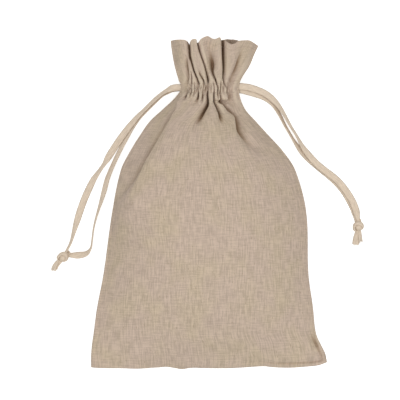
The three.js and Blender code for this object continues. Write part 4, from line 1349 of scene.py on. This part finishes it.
class POUCH_OT_drawstrings(bpy.types.Operator):
    """Lays the four strands of tape along their routes and ties each pair in a knot with two tails"""

    bl_idname = "pouch.drawstrings"
    bl_label = "Drawstrings and knots"

    def execute(self, context):
        tape = context.scene.pouch_tape
        material = tape_material(tape)
        for node, knot in KNOTS.items():
            piece = piece_from(node + "_tied", *knot_parts(knot, tape), material)
            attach(piece, "root")
            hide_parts(node)
        for node, rows in TAPE_ROUTES.items():
            parts, centre = tape_parts(rows, tape, PINCH_LENGTH, KNOT_TUCK)
            piece = piece_from(node + "_strand", *parts, material)
            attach(piece, "root")
            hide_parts(node)
        return {"FINISHED"}


class POUCH_OT_panels(bpy.types.Operator):
    """Makes the front and back panels with their gathers, hem and casing, and sews their stitches"""

    bl_idname = "pouch.panels"
    bl_label = "Panels and stitching"

    def execute(self, context):
        cloth = context.scene.pouch_cloth
        stitch = context.scene.pouch_stitch
        material = cloth_material(cloth)
        thread = thread_material(stitch)
        hem_row = MOUTH_Y - cloth.hem_depth / MM
        stitch_rows = {"_hem_stitches": (hem_row,), "_casing_stitches": CASING_STITCH_ROWS}
        for node in ("front_panel", "back_panel"):
            is_front = node == "front_panel"
            rows, points, normals, inside, shares, shade_relief = panel_grid(is_front, cloth)
            parts = panel_parts(is_front, cloth, rows, points, normals, inside, shares)
            panel = piece_from(node + "_cloth", *parts, material, np.tile(shade_relief.ravel(), 2))
            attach(panel, "root")
            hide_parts(node)
            for name, places in stitch_rows.items():
                parts = []
                for y in places:
                    parts += stitch_parts(rows, points, normals, y, stitch)
                piece = piece_from(node + name, *join_parts(parts), thread)
                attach(piece, "root")
        return {"FINISHED"}


class POUCH_PT_panel(bpy.types.Panel):
    """Lists the sizes and colours of the pouch and the steps that build it"""

    bl_idname = "POUCH_PT_panel"
    bl_label = "Drawstring pouch"
    bl_space_type = "VIEW_3D"
    bl_region_type = "UI"
    bl_category = "Pouch"

    def draw(self, context):
        for name, group in GROUPS.items():
            box = self.layout.box()
            for key in group.__annotations__:
                box.prop(getattr(context.scene, name), key)
        for operator in OPERATORS:
            self.layout.operator(operator.bl_idname)


GROUPS = {
    "pouch_cloth": PouchCloth,
    "pouch_tape": PouchTape,
    "pouch_stitch": PouchStitch,
    "pouch_stage": PouchStage,
}
OPERATORS = (POUCH_OT_stage, POUCH_OT_drawstrings, POUCH_OT_panels)
CLASSES = (*GROUPS.values(), *OPERATORS, POUCH_PT_panel)


def register():
    for cls in CLASSES:
        bpy.utils.register_class(cls)
    for name, group in GROUPS.items():
        setattr(bpy.types.Scene, name, PointerProperty(type=group))


def unregister():
    for name in GROUPS:
        delattr(bpy.types.Scene, name)
    for cls in reversed(CLASSES):
        bpy.utils.unregister_class(cls)


def main():
    register()
    bpy.ops.pouch.stage()
    bpy.ops.pouch.drawstrings()
    bpy.ops.pouch.panels()


if __name__ == "__main__":
    main()
